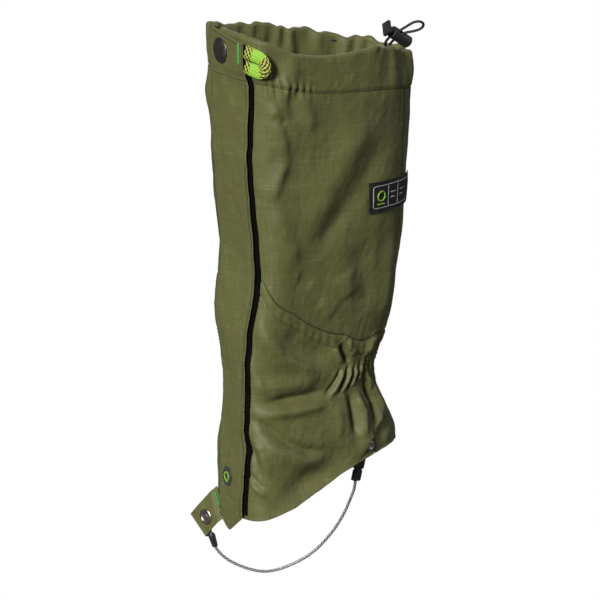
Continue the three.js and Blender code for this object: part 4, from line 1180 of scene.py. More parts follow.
LOCK_AXIS = np.array([-0.088, 0.824, -0.561])
LOCK_AXIS /= np.linalg.norm(LOCK_AXIS)
CORD_AXIS = np.array([0.68, 0.46, 0.571])
CORD_AXIS /= np.linalg.norm(CORD_AXIS)
LOCK_MOUTH = np.array([23.9, 66.9, RIM_LEVEL + 2.6])
LOOP_ROOT = np.array([34.9, -82.9, RIM_LEVEL - 3.0])
LOOP_REACH = np.array([0.82, 0.572, 0]) / math.hypot(0.82, 0.572)


def on_lock(run, across):
    return LOCK_MOUTH + LOCK_AXIS * run + CORD_AXIS * across


def about_rim(x, y, rise):
    return np.array([x, y, RIM_LEVEL + rise], float)


def in_channel(degrees):
    theta = np.radians(np.array([float(degrees)]))
    sag = 0.8 * eased(np.degrees(theta), RIM_SAG[:, 0], RIM_SAG[:, 1])
    base = cloth_base(theta, rim(theta) - 7)
    return raised(base, -CASING_DEPTH / 2, sag)[0] / MM


# ------------------------------------------------------------------ operators


class GAITER_OT_stage(bpy.types.Operator):
    """Sets up the floor, the lights and the camera"""

    bl_idname = "gaiter.stage"
    bl_label = "Stage"

    def execute(self, context):
        settings = context.scene.gaiter_stage
        low = CAD_BOX[0][2]
        mesh = bpy.data.meshes.new("floor")
        size = 14.0
        z = low - settings.floor_drop
        mesh.from_pydata([(-size, -size, z), (size, -size, z), (size, size, z), (-size, size, z)], [], [(0, 1, 2, 3)])
        floor = new_object("floor", mesh)
        made, t, shader = fresh_material("pale floor")
        patch = place_group(t, mottle_group(), {"Vector": surface_vector(t), "Scale": 1.5})["Patch"]
        tone = t.blend(t.math("MULTIPLY", patch, 0.5), (0.10, 0.10, 0.10), (0.09, 0.09, 0.09))
        t.tree.links.new(tone, shader.inputs["Base Color"])
        shader.inputs["Roughness"].default_value = 0.9
        shader.inputs["Specular IOR Level"].default_value = 0.1
        # Seen directly, the floor is an even white. What it throws back on the object stays low.
        bright = t.add("ShaderNodeEmission", {"Color": (1, 1, 1, 1), "Strength": 1.0})
        ray = t.add("ShaderNodeLightPath")
        both = t.add("ShaderNodeMixShader", {0: ray.outputs["Is Camera Ray"], 1: shader.outputs[0], 2: bright.outputs[0]})
        end = next(n for n in t.nodes if n.type == "OUTPUT_MATERIAL")
        t.tree.links.new(both.outputs[0], end.inputs["Surface"])
        mesh.materials.append(made)

        world = context.scene.world or bpy.data.worlds.new("world")
        context.scene.world = world
        world.use_nodes = True
        t = Tree(world.node_tree)
        t.nodes.clear()
        sky = t.add("ShaderNodeBackground", {"Color": (1, 1, 1, 1), "Strength": settings.fill})
        seen = t.add("ShaderNodeBackground", {"Color": (1, 1, 1, 1), "Strength": 1.0})
        ray = t.add("ShaderNodeLightPath")
        both = t.add("ShaderNodeMixShader", {0: ray.outputs["Is Camera Ray"], 1: sky.outputs[0], 2: seen.outputs[0]})
        out = t.add("ShaderNodeOutputWorld")
        world.node_tree.links.new(both.outputs[0], out.inputs["Surface"])

        self.lamp("key", (0.52, -0.86, 0.50), settings.key, 16)
        self.lamp("top", (-0.20, 0.0, 1.0), 0.35, 60)
        self.lamp("rear", (0.45, 0.85, 0.30), 0.45, 40)
        self.lamp("far side", (-0.75, 0.60, 0.35), 0.5, 40)

        lens = bpy.data.cameras.new("camera")
        camera = new_object("camera", lens)
        context.scene.camera = camera
        a, e = settings.azimuth, settings.elevation
        back = Vector((math.sin(a) * math.cos(e), -math.cos(a) * math.cos(e), math.sin(e)))
        lens.lens = lens.sensor_width * settings.distance / settings.across
        target = Vector((-0.0043, -0.0074, 0.1807))
        camera.location = target + back * settings.distance
        camera.rotation_mode = "QUATERNION"
        camera.rotation_quaternion = (-back).to_track_quat("-Z", "Y")
        lens.clip_end = 50
        context.scene.view_settings.view_transform = "Standard"
        return {"FINISHED"}

    @staticmethod
    def lamp(name, direction, strength, angle):
        """A soft sun that shines from a direction."""
        light = bpy.data.lights.new(name, "SUN")
        light.energy = strength
        light.angle = math.radians(angle)
        made = new_object(name, light)
        made.rotation_mode = "QUATERNION"
        made.rotation_quaternion = Vector(direction).to_track_quat("Z", "Y")


class GAITER_OT_instep_cable(bpy.types.Operator):
    """Makes the coated steel cable under the instep, with its ferrule, sleeve, ball and rivet"""

    bl_idname = "gaiter.instep_cable"
    bl_label = "Instep Cable"

    ROUTE = (
        (1.0, -22.5), (2.4, -28.0), (4.4, -34.6), (8.2, -40.4), (16.2, -47.4), (32.5, -54.9), (48.0, -57.6),
        (62.8, -54.5), (81.4, -45.6), (92.8, -36.8), (101.0, -27.9), (108.0, -19.0), (113.4, -10.2),
        (117.9, -1.3), (121.5, 7.5), (124.8, 16.6),
    )

    def execute(self, context):
        trim = context.scene.gaiter_trim
        radius = 1.3
        first = on_cable(0, BALL[2] - 1.75 - GAP) + 0.5 * CABLE_RUN
        points = [first] + [on_cable(*p) for p in self.ROUTE]
        points += [SLEEVE_FOOT, SLEEVE_FOOT + 9 * SLEEVE_AXIS]
        path, length = fine_curve(points, 900)
        turn = trim.cable_turn

        def relief(run, angle):
            return -0.10 * (0.5 - 0.5 * np.cos(6 * (angle + 2 * np.pi * run / turn)))

        shape = tube(path, radius, 30, relief)
        uv = np.array(shape[2]) * (MM, 1)
        cable = mesh_object("instep_cable_strands", *in_metres(shape), uv)
        finish_piece(cable, "cable", "strap", "cable_steel", "instep_cable")
        dress_node("cable_ball", "hidden steel")

        ferrule = self.ferrule()
        sleeve = self.sleeve()
        self.rivet()
        return {"FINISHED"}

    @staticmethod
    def ferrule():
        """The moulded taper where the cable leaves the webbing."""
        head, tail = on_cable(0.9, -22.4), on_cable(4.9, -35.4)
        length = float(np.linalg.norm(tail - head))
        bore = 1.75
        profile = [
            (bore, 1.3), (2.15, 1.3), (3.05, 2.9), (3.25, 4.0), (2.95, 4.5), (3.05, 5.0), (2.85, 7.6),
            (2.45, length), (bore, length), (bore, 1.3),
        ]
        shape = placed(turned(rounded_profile(profile, 0.35), 40), frame_at(head, tail - head))
        piece = mesh_object("cable_taper", *shape[:2], weld=True)
        return finish_piece(piece, "plastic", "strap", "black_plastic", "cable_ferrule")

    @staticmethod
    def sleeve():
        """The two-part moulded sleeve, and its flat eye on the rivet."""
        wide = np.cross(SLEEVE_AXIS, RIVET_AXIS)
        place = frame_at(SLEEVE_FOOT, SLEEVE_AXIS, wide)
        total = float(np.linalg.norm(PIVOT - SLEEVE_FOOT))

        def squared(value):
            return math.copysign(abs(value) ** 0.6, value)

        def oval(half_width, half_thick):
            turns = [2 * math.pi * k / 40 for k in range(40)]
            return [(half_width * squared(math.cos(a)), half_thick * squared(math.sin(a))) for a in turns]

        shapes = [
            prism(oval(4.6, 2.5), 0, 9.6, 0.6),
            prism(oval(3.7, 2.0), 9.2, 11.4, 0.2),
            prism(oval(5.4, 2.75), 11.0, 21.4, 0.6),
            prism(oval(1.0, 3.0), 12.2, 20.4, 0.3),
        ]
        hole = 2.5
        ring_out, ring_in = [], []
        count = 48
        for k in range(count):
            a = 2 * math.pi * k / count
            direction = np.array([math.cos(a), math.sin(a)])
            reach = 4.5 if direction[1] >= 0 else min(
                4.4 / max(abs(direction[0]), 1e-6), (total - 20.5) / max(abs(direction[1]), 1e-6))
            ring_out.append(np.array([0, total]) + direction * reach)
            ring_in.append(np.array([0, total]) + direction * hole)
        points, faces = [], []
        for ring in (ring_out, ring_in):
            for depth in (-0.85, 0.85):
                points += [(x, -depth, y) for x, y in ring]
        for k in range(count):
            n = (k + 1) % count
            o0, o1, i0, i1 = 0, count, 2 * count, 3 * count
            faces += [[o0 + k, o0 + n, o1 + n, o1 + k], [i0 + k, i1 + k, i1 + n, i0 + n],
                      [o0 + k, i0 + k, i0 + n, o0 + n], [o1 + k, o1 + n, i1 + n, i1 + k]]
        shapes.append((points, faces))
        points, faces, _ = join_shapes([placed(s, place) for s in shapes])
        piece = mesh_object("cable_sleeve_moulding", points, faces)
        return finish_piece(piece, "plastic", "strap", "black_plastic", "cable_sleeve")

    @staticmethod
    def rivet():
        """The ring-shaped head that holds the sleeve inside the hem."""
        seat = cloth_point(np.array(RIVET_ANGLE), np.array(RIVET_LEVEL), 0.0) / MM
        place = frame_at(seat, RIVET_AXIS)
        profile = [
            (0, -9.4), (1.5, -9.4), (1.5, GAP), (4.4, GAP), (4.4, 0.8), (3.6, 1.6), (2.6, 1.55), (1.9, 1.0), (0.0, 0.9),
        ]
        shape = placed(turned(rounded_profile(profile, 0.35), 40), place)
        piece = mesh_object("strap_rivet_head", *shape[:2])
        finish_piece(piece, "bright plating", "body", "gunmetal", "strap_rivet")
        dress_node("rivet_washer", "plating")


class GAITER_OT_drawcord(bpy.types.Operator):
    """Makes the braided drawcord and the cord lock on it"""

    bl_idname = "gaiter.drawcord"
    bl_label = "Drawcord"

    def execute(self, context):
        points = [in_channel(d) for d in (-68, -61, -55, -49, -40, -26, -10, 8, 24, 38, 52, 62)]
        points += [about_rim(*place) for place in (
            (26.5, 74.6, -21.4), (20.0, 81.6, -21.4), (12.6, 76.6, -19.4), (11.6, 67.0, -11.6))]
        points += [on_lock(4.4, a) for a in (-6, 0, 6)]
        points += [about_rim(*place) for place in (
            (32.5, 77.7, 7.9), (36.5, 80.9, 11.6), (39.2, 85.3, 12.8), (39.3, 90.0, 10.5), (36.7, 91.2, 6.2),
            (33.4, 88.3, 3.2), (30.3, 83.1, 1.9))]
        points += [on_lock(9.8, a) for a in (6, 0, -6)]
        points += [about_rim(11.6, 71.6, -12.8), about_rim(5.0, 78.6, -19.4), about_rim(-2.5, 86.0, -23.6)]
        points += [in_channel(d) for d in (98, 112, 128, 144, 158, 172, 188, 206, 220, 229, 235, 241)]
        holes = [on_lock(level, a) for level in (4.4, 9.8) for a in (-6, -3, 0, 3, 6)]
        path = relaxed(fine_curve(points, 1300)[0], holes, 150)

        def relief(run, angle):
            one = np.cos(2 * np.pi * run / 2.4 + 4 * angle)
            two = np.cos(2 * np.pi * run / 2.4 - 4 * angle)
            return 0.07 * one * two - 0.05

        shape = tube(path, 1.2, 20, relief)
        cord = mesh_object("braided_drawcord", *in_metres(shape), np.array(shape[2]) * (MM, 1))
        finish_piece(cord, "cord", "body", "black_cord", "drawcord")
        dress_node("cord_lock_spring", "hidden steel")
        dress_node("cord_lock_barrel", "plastic")
        dress_node("cord_lock_plunger", "plastic")
        return {"FINISHED"}


class GAITER_OT_body_cloth(bpy.types.Operator):
    """Makes the four panels of the tube, with their folds and the gathers of the ankle"""

    bl_idname = "gaiter.body_cloth"
    bl_label = "Body Cloth"

    def execute(self, context):
        thick = context.scene.gaiter_cloth.thickness
        seam = 0.0035

        def seams(theta, z):
            """Grooves along the panel seam, its felled edge and the back seam, a raised felled band, and a ridge at the
            hem.
            """
            from_seam = z - panel_seam(theta)
            lines = groove(from_seam, 1.0, 0.9) + groove(from_seam + 12, 1.4, 0.45)
            band = smooth(from_seam, -13, -11) * (1 - smooth(from_seam, -2, 0))
            s = along(theta)
            lines = lines + band * (0.35 + 0.28 * np.cos(s * 2 * np.pi / 9 + 2 * lattice_noise(s / 12, z / 12, 61)))
            lines = lines + 0.35 * bell(z - hem(theta), 0.8, 1.2)
            side = (theta - back_seam(z)) * 50
            return lines + groove(side, 1.4, 0.8) + groove(side + 4, 1.0, 0.3)

        near = dict(left=near_edge, right=lambda z: back_seam(z) - seam)
        far = dict(left=lambda z: back_seam(z) + seam, right=far_edge)
        upper = dict(foot=lambda a: panel_seam(a) + 0.15, top=lambda a: casing_foot(a) - GAP)
        lower = dict(foot=hem, top=lambda a: panel_seam(a) - 0.15)
        cloth = dict(offset=0.0, thick=thick, grooves=seams)
        pieces = (
            ("calf_cloth_outer", "upper_outer_panel", near, upper, 150, 170, 0.190),
            ("calf_cloth_inner", "upper_inner_panel", far, upper, 140, 110, 0.265),
            ("ankle_cloth_outer", "lower_outer_panel", near, lower, 170, 190, 0.175),
            ("ankle_cloth_inner", "lower_inner_panel", far, lower, 160, 120, 0.235),
        )
        for name, node, sides, ends, columns, rows, wide in pieces:
            piece = body_sheet(name, **sides, **ends, **cloth, columns=columns, rows=rows)
            finish_piece(piece, "body cloth", "body", "body_fabric", node)
        return {"FINISHED"}


class GAITER_OT_inside(bpy.types.Operator):
    """Makes the lining, the hem's facing and the ankle elastic"""

    bl_idname = "gaiter.inside"
    bl_label = "Inside"

    def execute(self, context):
        depth = 1.7
        around = dict(left=near_edge, right=far_edge)
        lining = body_sheet(
            "lining_cloth", **around, foot=lambda a: hem(a) + 2, top=lambda a: casing_foot(a) - GAP,
            offset=-depth, thick=0.5, columns=230, rows=150)
        finish_piece(lining, "lining cloth", "body", "lining_fabric", "lining")
        inner = depth + 1.3
        facing = body_sheet(
            "hem_facing_strip", **around, foot=lambda a: hem(a) + 0.3, top=lambda a: hem(a) + 11,
            offset=-inner, thick=0.6, columns=220, rows=8)
        finish_piece(facing, "body cloth", "body", "body_fabric", "hem_facing")

        def ribs(theta, z):
            return 0.25 * np.cos(z * 2 * np.pi / 3.9) + 0.3 * np.cos(along(theta) * 2 * np.pi / 3.1)

        elastic = body_sheet(
            "ankle_elastic_band", left=steady(np.radians(-25.0)), right=steady(np.radians(205.0)),
            foot=steady(108), top=steady(139),
            offset=-inner - 0.5, thick=1.1, columns=260, rows=40, grooves=ribs)
        finish_piece(elastic, "elastic", "body", "elastic", "ankle_elastic")
        return {"FINISHED"}


class GAITER_OT_casing(bpy.types.Operator):
    """Makes the gathered tunnel round the calf's rim"""

    bl_idname = "gaiter.casing"
    bl_label = "Casing"

    def execute(self, context):
        thick = 0.8
        # One turn of the tunnel's section: up the outside, over the rim and down the inside.
        wall = []
        for k in range(30):
            wall.append((0.0, CASING_HEIGHT - CASING_HEIGHT * (k / 30) * 0.925))
        for k in range(13):
            a = math.pi * k / 12
            middle = CASING_DEPTH / 2
            wall.append((-middle + middle * math.cos(a), 2.8 - 2.8 * math.sin(a)))
        for k in range(1, 26):
            wall.append((-CASING_DEPTH, 2.8 + (CASING_HEIGHT - 2.8) * k / 25))
        wall = np.array(wall)
        turns = np.linspace(0, 1, 330)
        drop = np.broadcast_to(wall[None, :, 1], (len(turns), len(wall)))
        offset = np.broadcast_to(wall[None, :, 0], drop.shape)
        theta = np.zeros_like(drop)
        z = np.full_like(drop, float(RIM_LEVEL))
        for _ in range(6):
            low, high = near_edge(z), far_edge(z)
            theta = low + (high - low) * turns[:, None]
            z = rim(theta) - drop * casing_height(theta) / CASING_HEIGHT
        s = along(theta)
        turn = np.degrees(theta)
        gathered = smooth(turn, 44, 84)
        wave = rim_gathers(s, z, rim(theta) - z)
        rise = 1.2 * wave + 0.5 * lattice_noise(s / 9, 0 * s, 71)
        up = (1 - smooth(drop, 0, 22)) * (rise - 1.0 * gathered)
        up = up + (1 - drop / CASING_HEIGHT) * eased(turn, RIM_SAG[:, 0], RIM_SAG[:, 1])
        # The tunnel puffs out over the cord and is drawn in at its foot.
        puff = 1.3 * gathered * np.sin(np.clip(drop / CASING_HEIGHT, 0, 1) * np.pi)
        seam = groove(drop - CASING_HEIGHT + 1.2, 1.2, 0.9)
        direction = np.where(offset > -CASING_DEPTH / 2, 1.0, -0.5)
        extra = direction * (puff + 0.6 * np.abs(wave) * (1 - smooth(drop, 4, 30))) + np.where(offset > -1, seam, 0)
        tangent = np.gradient(wall, axis=0)
        tangent /= np.linalg.norm(tangent, axis=1, keepdims=True)
        face = np.stack([-tangent[:, 1], tangent[:, 0]], -1)
        shell = []
        base = cloth_base(theta, z)
        for sign in (0.0, -thick):
            off = offset + face[None, :, 0] * sign
            rise_by = up - face[None, :, 1] * sign
            shell.append(raised(base, off + extra, rise_by))
        points, faces = closed_sheet(shell[0], shell[1])
        run = np.concatenate([[0], np.cumsum(np.hypot(*np.diff(wall, axis=0).T))])
        flat = np.stack([s * MM, np.broadcast_to(run[None, :], s.shape) * MM], -1).reshape(-1, 2)
        piece = mesh_object("casing_cloth", points, faces, np.concatenate([flat, flat]), weld=True)
        finish_piece(piece, "body cloth", "body", "body_fabric", "top_casing")
        return {"FINISHED"}


def flap_left(z):
    return -flap_half(z) + 0.34 * np.maximum(19 - z, 0)


def flap_foot(x):
    return -13 + 0.72 * (np.hypot(x, 3) - 3)


def flap_top(x):
    return FLAP_TOP - 0.115 * x


def sewn_edge(piece):
    """Bakes the piece's placement into its mesh."""
    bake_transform(piece)
    return piece


def flap_rise(x, z):
    return FLAP_FACE - (FLAP_BACK - GAP) * (1 - smooth(x + flap_half(z), 0, 9))


class GAITER_OT_closure(bpy.types.Operator):
    """Makes the hook-and-loop tapes, the front flap and the layer on its top"""

    bl_idname = "gaiter.closure"
    bl_label = "Front Closure"

    def execute(self, context):
        loop = shin_sheet(
            "loop_tape_pile", left=steady(-14), right=lambda z: flap_half(z) + 3.3,
            foot=steady(5), top=steady(RIM_LEVEL - 15),
            offset=steady(LOOP_FACE), thick=1.0, columns=30, rows=200)
        finish_piece(loop, "tape pile", "body", "tape", "loop_tape")
        hook = shin_sheet(
            "hook_tape_strip", left=steady(-11.5), right=lambda z: flap_half(z) - 2,
            foot=steady(7), top=steady(RIM_LEVEL - 15),
            offset=steady(HOOK_FACE), thick=1.0, columns=26, rows=200)
        finish_piece(hook, "tape pile", "flap", "tape", "hook_tape")

        def flap_lines(x, z):
            edge = flap_half(z) - x
            rolled = 0.55 * bell(edge, 1.3, 1.1) + groove(edge - 3.4, 0.8, 0.5)
            left = x - flap_left(z)
            sewn = groove(left - 1.6, 0.9, 0.55) + 0.25 * bell(left, 0.4, 0.8)
            foot = z - flap_foot(x)
            sewn = sewn + 0.4 * bell(foot, 1.1, 1.0) + groove(foot - 3.2, 0.8, 0.4)
            # Two soft creases above and below the badge, where the flap bends.
            crease = groove((z - 52) - 0.30 * (x + 2), 2.4, 0.9) * bell(x, -3, 9)
            crease = crease + groove((z - 16.5) + 0.25 * (x + 1), 1.8, 0.9) * bell(x, 0, 8)
            slack = 0.8 * lattice_noise(x / 22 + 5, z / 38, 81) + 0.25 * lattice_noise(x / 7, z / 12, 82)
            return rolled + sewn + crease + slack * smooth(z, 20, 60) * (1 - smooth(z, 370, 392))

        flap = shin_sheet(
            "flap_cloth", left=flap_left, right=flap_half, foot=flap_foot, top=flap_top,
            offset=flap_rise, thick=1.0, columns=64, rows=330, grooves=flap_lines)
        sewn_edge(finish_piece(flap, "flap cloth", "", "body_fabric", "front_flap"))

        def tab_lines(x, z):
            edges = np.minimum(np.minimum(flap_half(z) - 0.5 - x, x + flap_half(z) - 0.5),
                               np.minimum(z - 389, flap_top(x) - 0.5 - z))
            return 0.35 * bell(edges, 1.0, 1.0) + groove(edges - 2.6, 0.7, 0.35) + groove(z - 389 - 5.2, 0.7, 0.3)

        tab = shin_sheet(
            "flap_top_layer", left=lambda z: -flap_half(z) + 0.5, right=lambda z: flap_half(z) - 0.5,
            foot=steady(389), top=lambda x: flap_top(x) - 0.5,
            offset=lambda x, z: flap_rise(x, z) + GAP + CLOTH, thick=1.0, columns=60, rows=50, grooves=tab_lines)
        sewn_edge(finish_piece(tab, "flap cloth", "", "body_fabric", "flap_top_tab"))
        return {"FINISHED"}


class GAITER_OT_snaps(bpy.types.Operator):
    """Makes the caps of the two press snaps and finishes their hidden parts"""

    bl_idname = "gaiter.snaps"
    bl_label = "Press Snaps"

    def execute(self, context):
        point, axis = shin_place(*TOP_SNAP, 0)
        seat = TAB_FACE + GAP
        profile = [
            (0, FLAP_BACK), (1.7, FLAP_BACK), (1.7, seat), (10.5, seat), (11.2, seat + 0.5), (11.1, seat + 1.0),
            (10.3, seat + 1.45), (9.9, seat + 1.3), (9.3, seat + 1.65), (7.6, seat + 2.15), (5.4, seat + 2.5),
            (2.6, seat + 2.7), (0, seat + 2.75),
        ]
        shape = placed(turned(rounded_profile(profile, 0.3), 64), frame_at(point, axis))
        cap = mesh_object("top_snap_dome", *shape[:2])
        finish_piece(cap, "plating", "flap", "gunmetal", "top_snap_cap")

        place = TAB_FRAME.copy()
        place[:3, 3] = on_tab(*SNAP_SPOT, 0)
        profile = [
            (0, -LEAF - 0.2), (1.4, -LEAF - 0.2), (1.4, GAP), (6.2, GAP), (6.8, GAP + 0.4), (6.7, GAP + 0.9),
            (5.8, GAP + 1.5), (4.6, GAP + 1.55), (3.6, GAP + 0.9), (2.9, GAP + 0.75), (2.2, GAP + 1.05), (0, GAP + 1.3),
        ]
        shape = placed(turned(rounded_profile(profile, 0.25), 56), place)
        cap = mesh_object("tab_snap_dome", *shape[:2])
        finish_piece(cap, "bright plating", "body", "gunmetal", "tab_snap_cap")
        for name in ("top_snap_socket", "top_snap_stud", "top_snap_post", "tab_snap_socket", "tab_snap_stud", "tab_snap_post"):
            dress_node(name, "plating")
        return {"FINISHED"}


class GAITER_OT_pull_loop(bpy.types.Operator):
    """Makes the bright braided pull loop and the bar-tack that holds it"""

    bl_idname = "gaiter.pull_loop"
    bl_label = "Pull Loop"

    def execute(self, context):
        face = np.cross(LOOP_REACH, (0, 0, 1.0))
        bend, straight = 6.6, 12.0
        plan = []
        for k in range(18):
            plan.append((straight * k / 18, bend))
        for k in range(41):
            a = math.pi / 2 - math.pi * k / 40
            plan.append((straight + bend * math.cos(a), bend * math.sin(a)))
        for k in range(1, 19):
            plan.append((straight - straight * k / 18, -bend))
        plan = np.array(plan)
        droop = math.radians(15)
        run = plan[:, 0]
        up = plan[:, 1] - run * math.tan(droop)
        path = LOOP_ROOT + LOOP_REACH * (run[:, None] - 0.6) + np.array([0, 0, 1.0]) * up[:, None]
        path += face * (0.9 * np.sin(np.linspace(0, np.pi, len(plan))))[:, None]
        tangent = np.gradient(path, axis=0)
        tangent /= np.linalg.norm(tangent, axis=1, keepdims=True)
        out = np.cross(face, tangent)
        out /= np.linalg.norm(out, axis=1, keepdims=True)
        axes = (tangent, out, np.broadcast_to(face, out.shape))

        def relief(run, angle):
            return 0.30 * np.cos(2 * np.pi * run / 3.4 + 7 * angle) * np.cos(2 * np.pi * run / 3.4 - 7 * angle)

        shape = tube(path, 5.7, 88, relief, squash=(1.0, 0.38), axes=axes)
        loop = mesh_object("pull_loop_braid", *in_metres(shape), np.array(shape[2]) * (MM, 1))
        finish_piece(loop, "loop braid", "loop", "bright_webbing", "pull_loop")

        x, z = 26.8, RIM_LEVEL + 1.0
        point, axis = shin_place(x, z, TAB_FACE + GAP)
        tack = zigzag(frame_at(point, axis), 18.4, 3.2, 30)
        piece = mesh_object("pull_loop_tack", *join_shapes(tack)[:2])
        finish_piece(piece, "green thread", "flap", "bright_thread", "pull_loop_bartack")
        return {"FINISHED"}


def zigzag(place, length, width, count, turn=0.0):
    """A bar-tack: close stitches across two long ones, centred on a frame whose Z is outward."""
    radius = 0.26
    shapes = []
    c, s = math.cos(turn), math.sin(turn)

    def strand(points):
        points = np.array([(x * c - y * s, x * s + y * c, h) for x, y, h in points])
        path, _ = fine_curve(points, 9)
        made = tube(path, [0.12] + [radius] * 7 + [0.12], 6)
        return placed(made, place)

    for y in (-width * 0.25, width * 0.25):
        levels = ((-0.5, 0), (-0.25, 0.25), (0.25, 0.25), (0.5, 0))
        shapes.append(strand([(length * share, y, high) for share, high in levels]))
    for k in range(count):
        x = -length / 2 + (k + 0.5) * length / count
        lean = 0.25 * length / count * (1 if k % 2 else -1)
        levels = ((-1, 0.0), (-0.5, 0.55), (0.5, 0.55), (1, 0.0))
        shapes.append(strand([(x + lean * share, width / 2 * share, high) for share, high in levels]))
    return shapes


class GAITER_OT_labels(bpy.types.Operator):
    """Makes the woven patch on the calf and the badge on the flap, both with plain marks"""

    bl_idname = "gaiter.labels"
    bl_label = "Labels"

    def execute(self, context):
        self.patch()
        self.badge()
        return {"FINISHED"}

    @staticmethod
    def patch():
        low, high, foot, top = 32.5, 77.0, 263.0, 290.0
        label = body_sheet(
            "woven_label", left=steady(np.radians(low)), right=steady(np.radians(high)),
            foot=steady(foot), top=steady(top), offset=1.7, thick=0.7, columns=90, rows=50)
        finish_piece(label, "label weave", "body", "black_label", "woven_patch")
        start, end = along(math.radians(low)), along(math.radians(high))
        wide, tall = end - start, top - foot

        def on_label(u, v, out=1.78):
            theta = np.interp(start + np.asarray(u, float), _ALONG, _TURN)
            return cloth_point(theta, foot + np.asarray(v, float), out) / MM

        def ribbon(points, width):
            """A flat run of white or bright yarn on the label."""
            points = np.asarray(points, float)
            run = run_along(points)
            even = np.linspace(0, run[-1], max(8, int(run[-1] / 0.8)))
            u, v = np.interp(even, run, points[:, 0]), np.interp(even, run, points[:, 1])
            return tube(on_label(u, v), width / 2, 6)

        def framed(u0, v0, u1, v1, corner=2.2):
            made = []
            low_u, high_u, low_v, high_v = u0 + corner, u1 - corner, v0 + corner, v1 - corner
            for cu, cv, a0 in ((high_u, low_v, -90), (high_u, high_v, 0), (low_u, high_v, 90), (low_u, low_v, 180)):
                for k in range(7):
                    a = math.radians(a0 + 15 * k)
                    made.append((cu + corner * math.cos(a), cv + corner * math.sin(a)))
            return made + [made[0]]

        white = [ribbon(framed(4.0, 3.8, wide - 4, tall - 3.8), 0.75)]
        for u in (21.5, 34.0):
            white.append(ribbon([(u, 4.2), (u, tall - 4.2)], 0.5))
        for k, (a, b) in enumerate(((25.0, 31.0), (25.0, 29.0), (37.5, 45.5), (37.5, 43.0))):
            v = tall / 2 + (2.2 if k % 2 == 0 else -2.2)
            white.append(ribbon([(a, v), (min(b, wide - 6), v)], 1.0))
        border = mesh_object("label_border_yarn", *in_metres(join_shapes(white)))
        finish_piece(border, "white thread", "body", "bright_thread")
        # The mark is a plain ring with a bar under it.
        centre = (12.8, tall / 2 + 0.5)
        ring = [(centre[0] + 4.2 * math.cos(a), centre[1] + 4.2 * math.sin(a)) for a in np.linspace(0, 2 * np.pi, 37)]
        bar = [(centre[0] + side, centre[1] - 6.9) for side in (-4.2, 4.2)]
        marks = [ribbon(ring, 1.5), ribbon(bar, 1.2)]
        mark = mesh_object("label_mark_yarn", *in_metres(join_shapes(marks)))
        finish_piece(mark, "mark thread", "body", "bright_thread")

    @staticmethod
    def badge():
        point, axis = shin_place(-1.5, 34.5, FLAP_FACE + GAP)
        place = frame_at(point, axis)

        def hexagon(radius):
            turns = [math.radians(60 * k + 30) for k in range(6)]
            corners = [np.array([radius * math.cos(a), 0.9 * radius * math.sin(a)]) for a in turns]
            made = []
            for k in range(6):
                a, b = corners[k], corners[(k + 1) % 6]
                made += [mix(a, b, share) for share in (0.08, 0.16, 0.5, 0.84, 0.92)]
            return made

        plates = prism(hexagon(9.6), 0, 0.75, 0.3), prism(hexagon(8.4), 0.6, 1.05, 0.2)
        shapes = [placed(shape, place) for shape in plates]
        plate = mesh_object("badge_plate", *join_shapes(shapes)[:2])
        finish_piece(plate, "badge rubber", "flap", "badge_plate", "flap_badge")
        # Its mark is a plain ring too.
        ring = [(3.5 * math.cos(a), 3.5 * math.sin(a), 1.15) for a in np.linspace(0, 2 * np.pi, 41)[:-1]]
        shape = placed(tube(ring, 0.72, 8, closed=True), place)
        bar = placed(tube([(-4.6, -2.0, 1.15), (-4.6, 0, 1.15), (-4.6, 2.0, 1.15)], 0.45, 8), place)
        mark = mesh_object("badge_mark", *join_shapes([shape, bar])[:2])
        finish_piece(mark, "mark thread", "flap", "bright_thread")


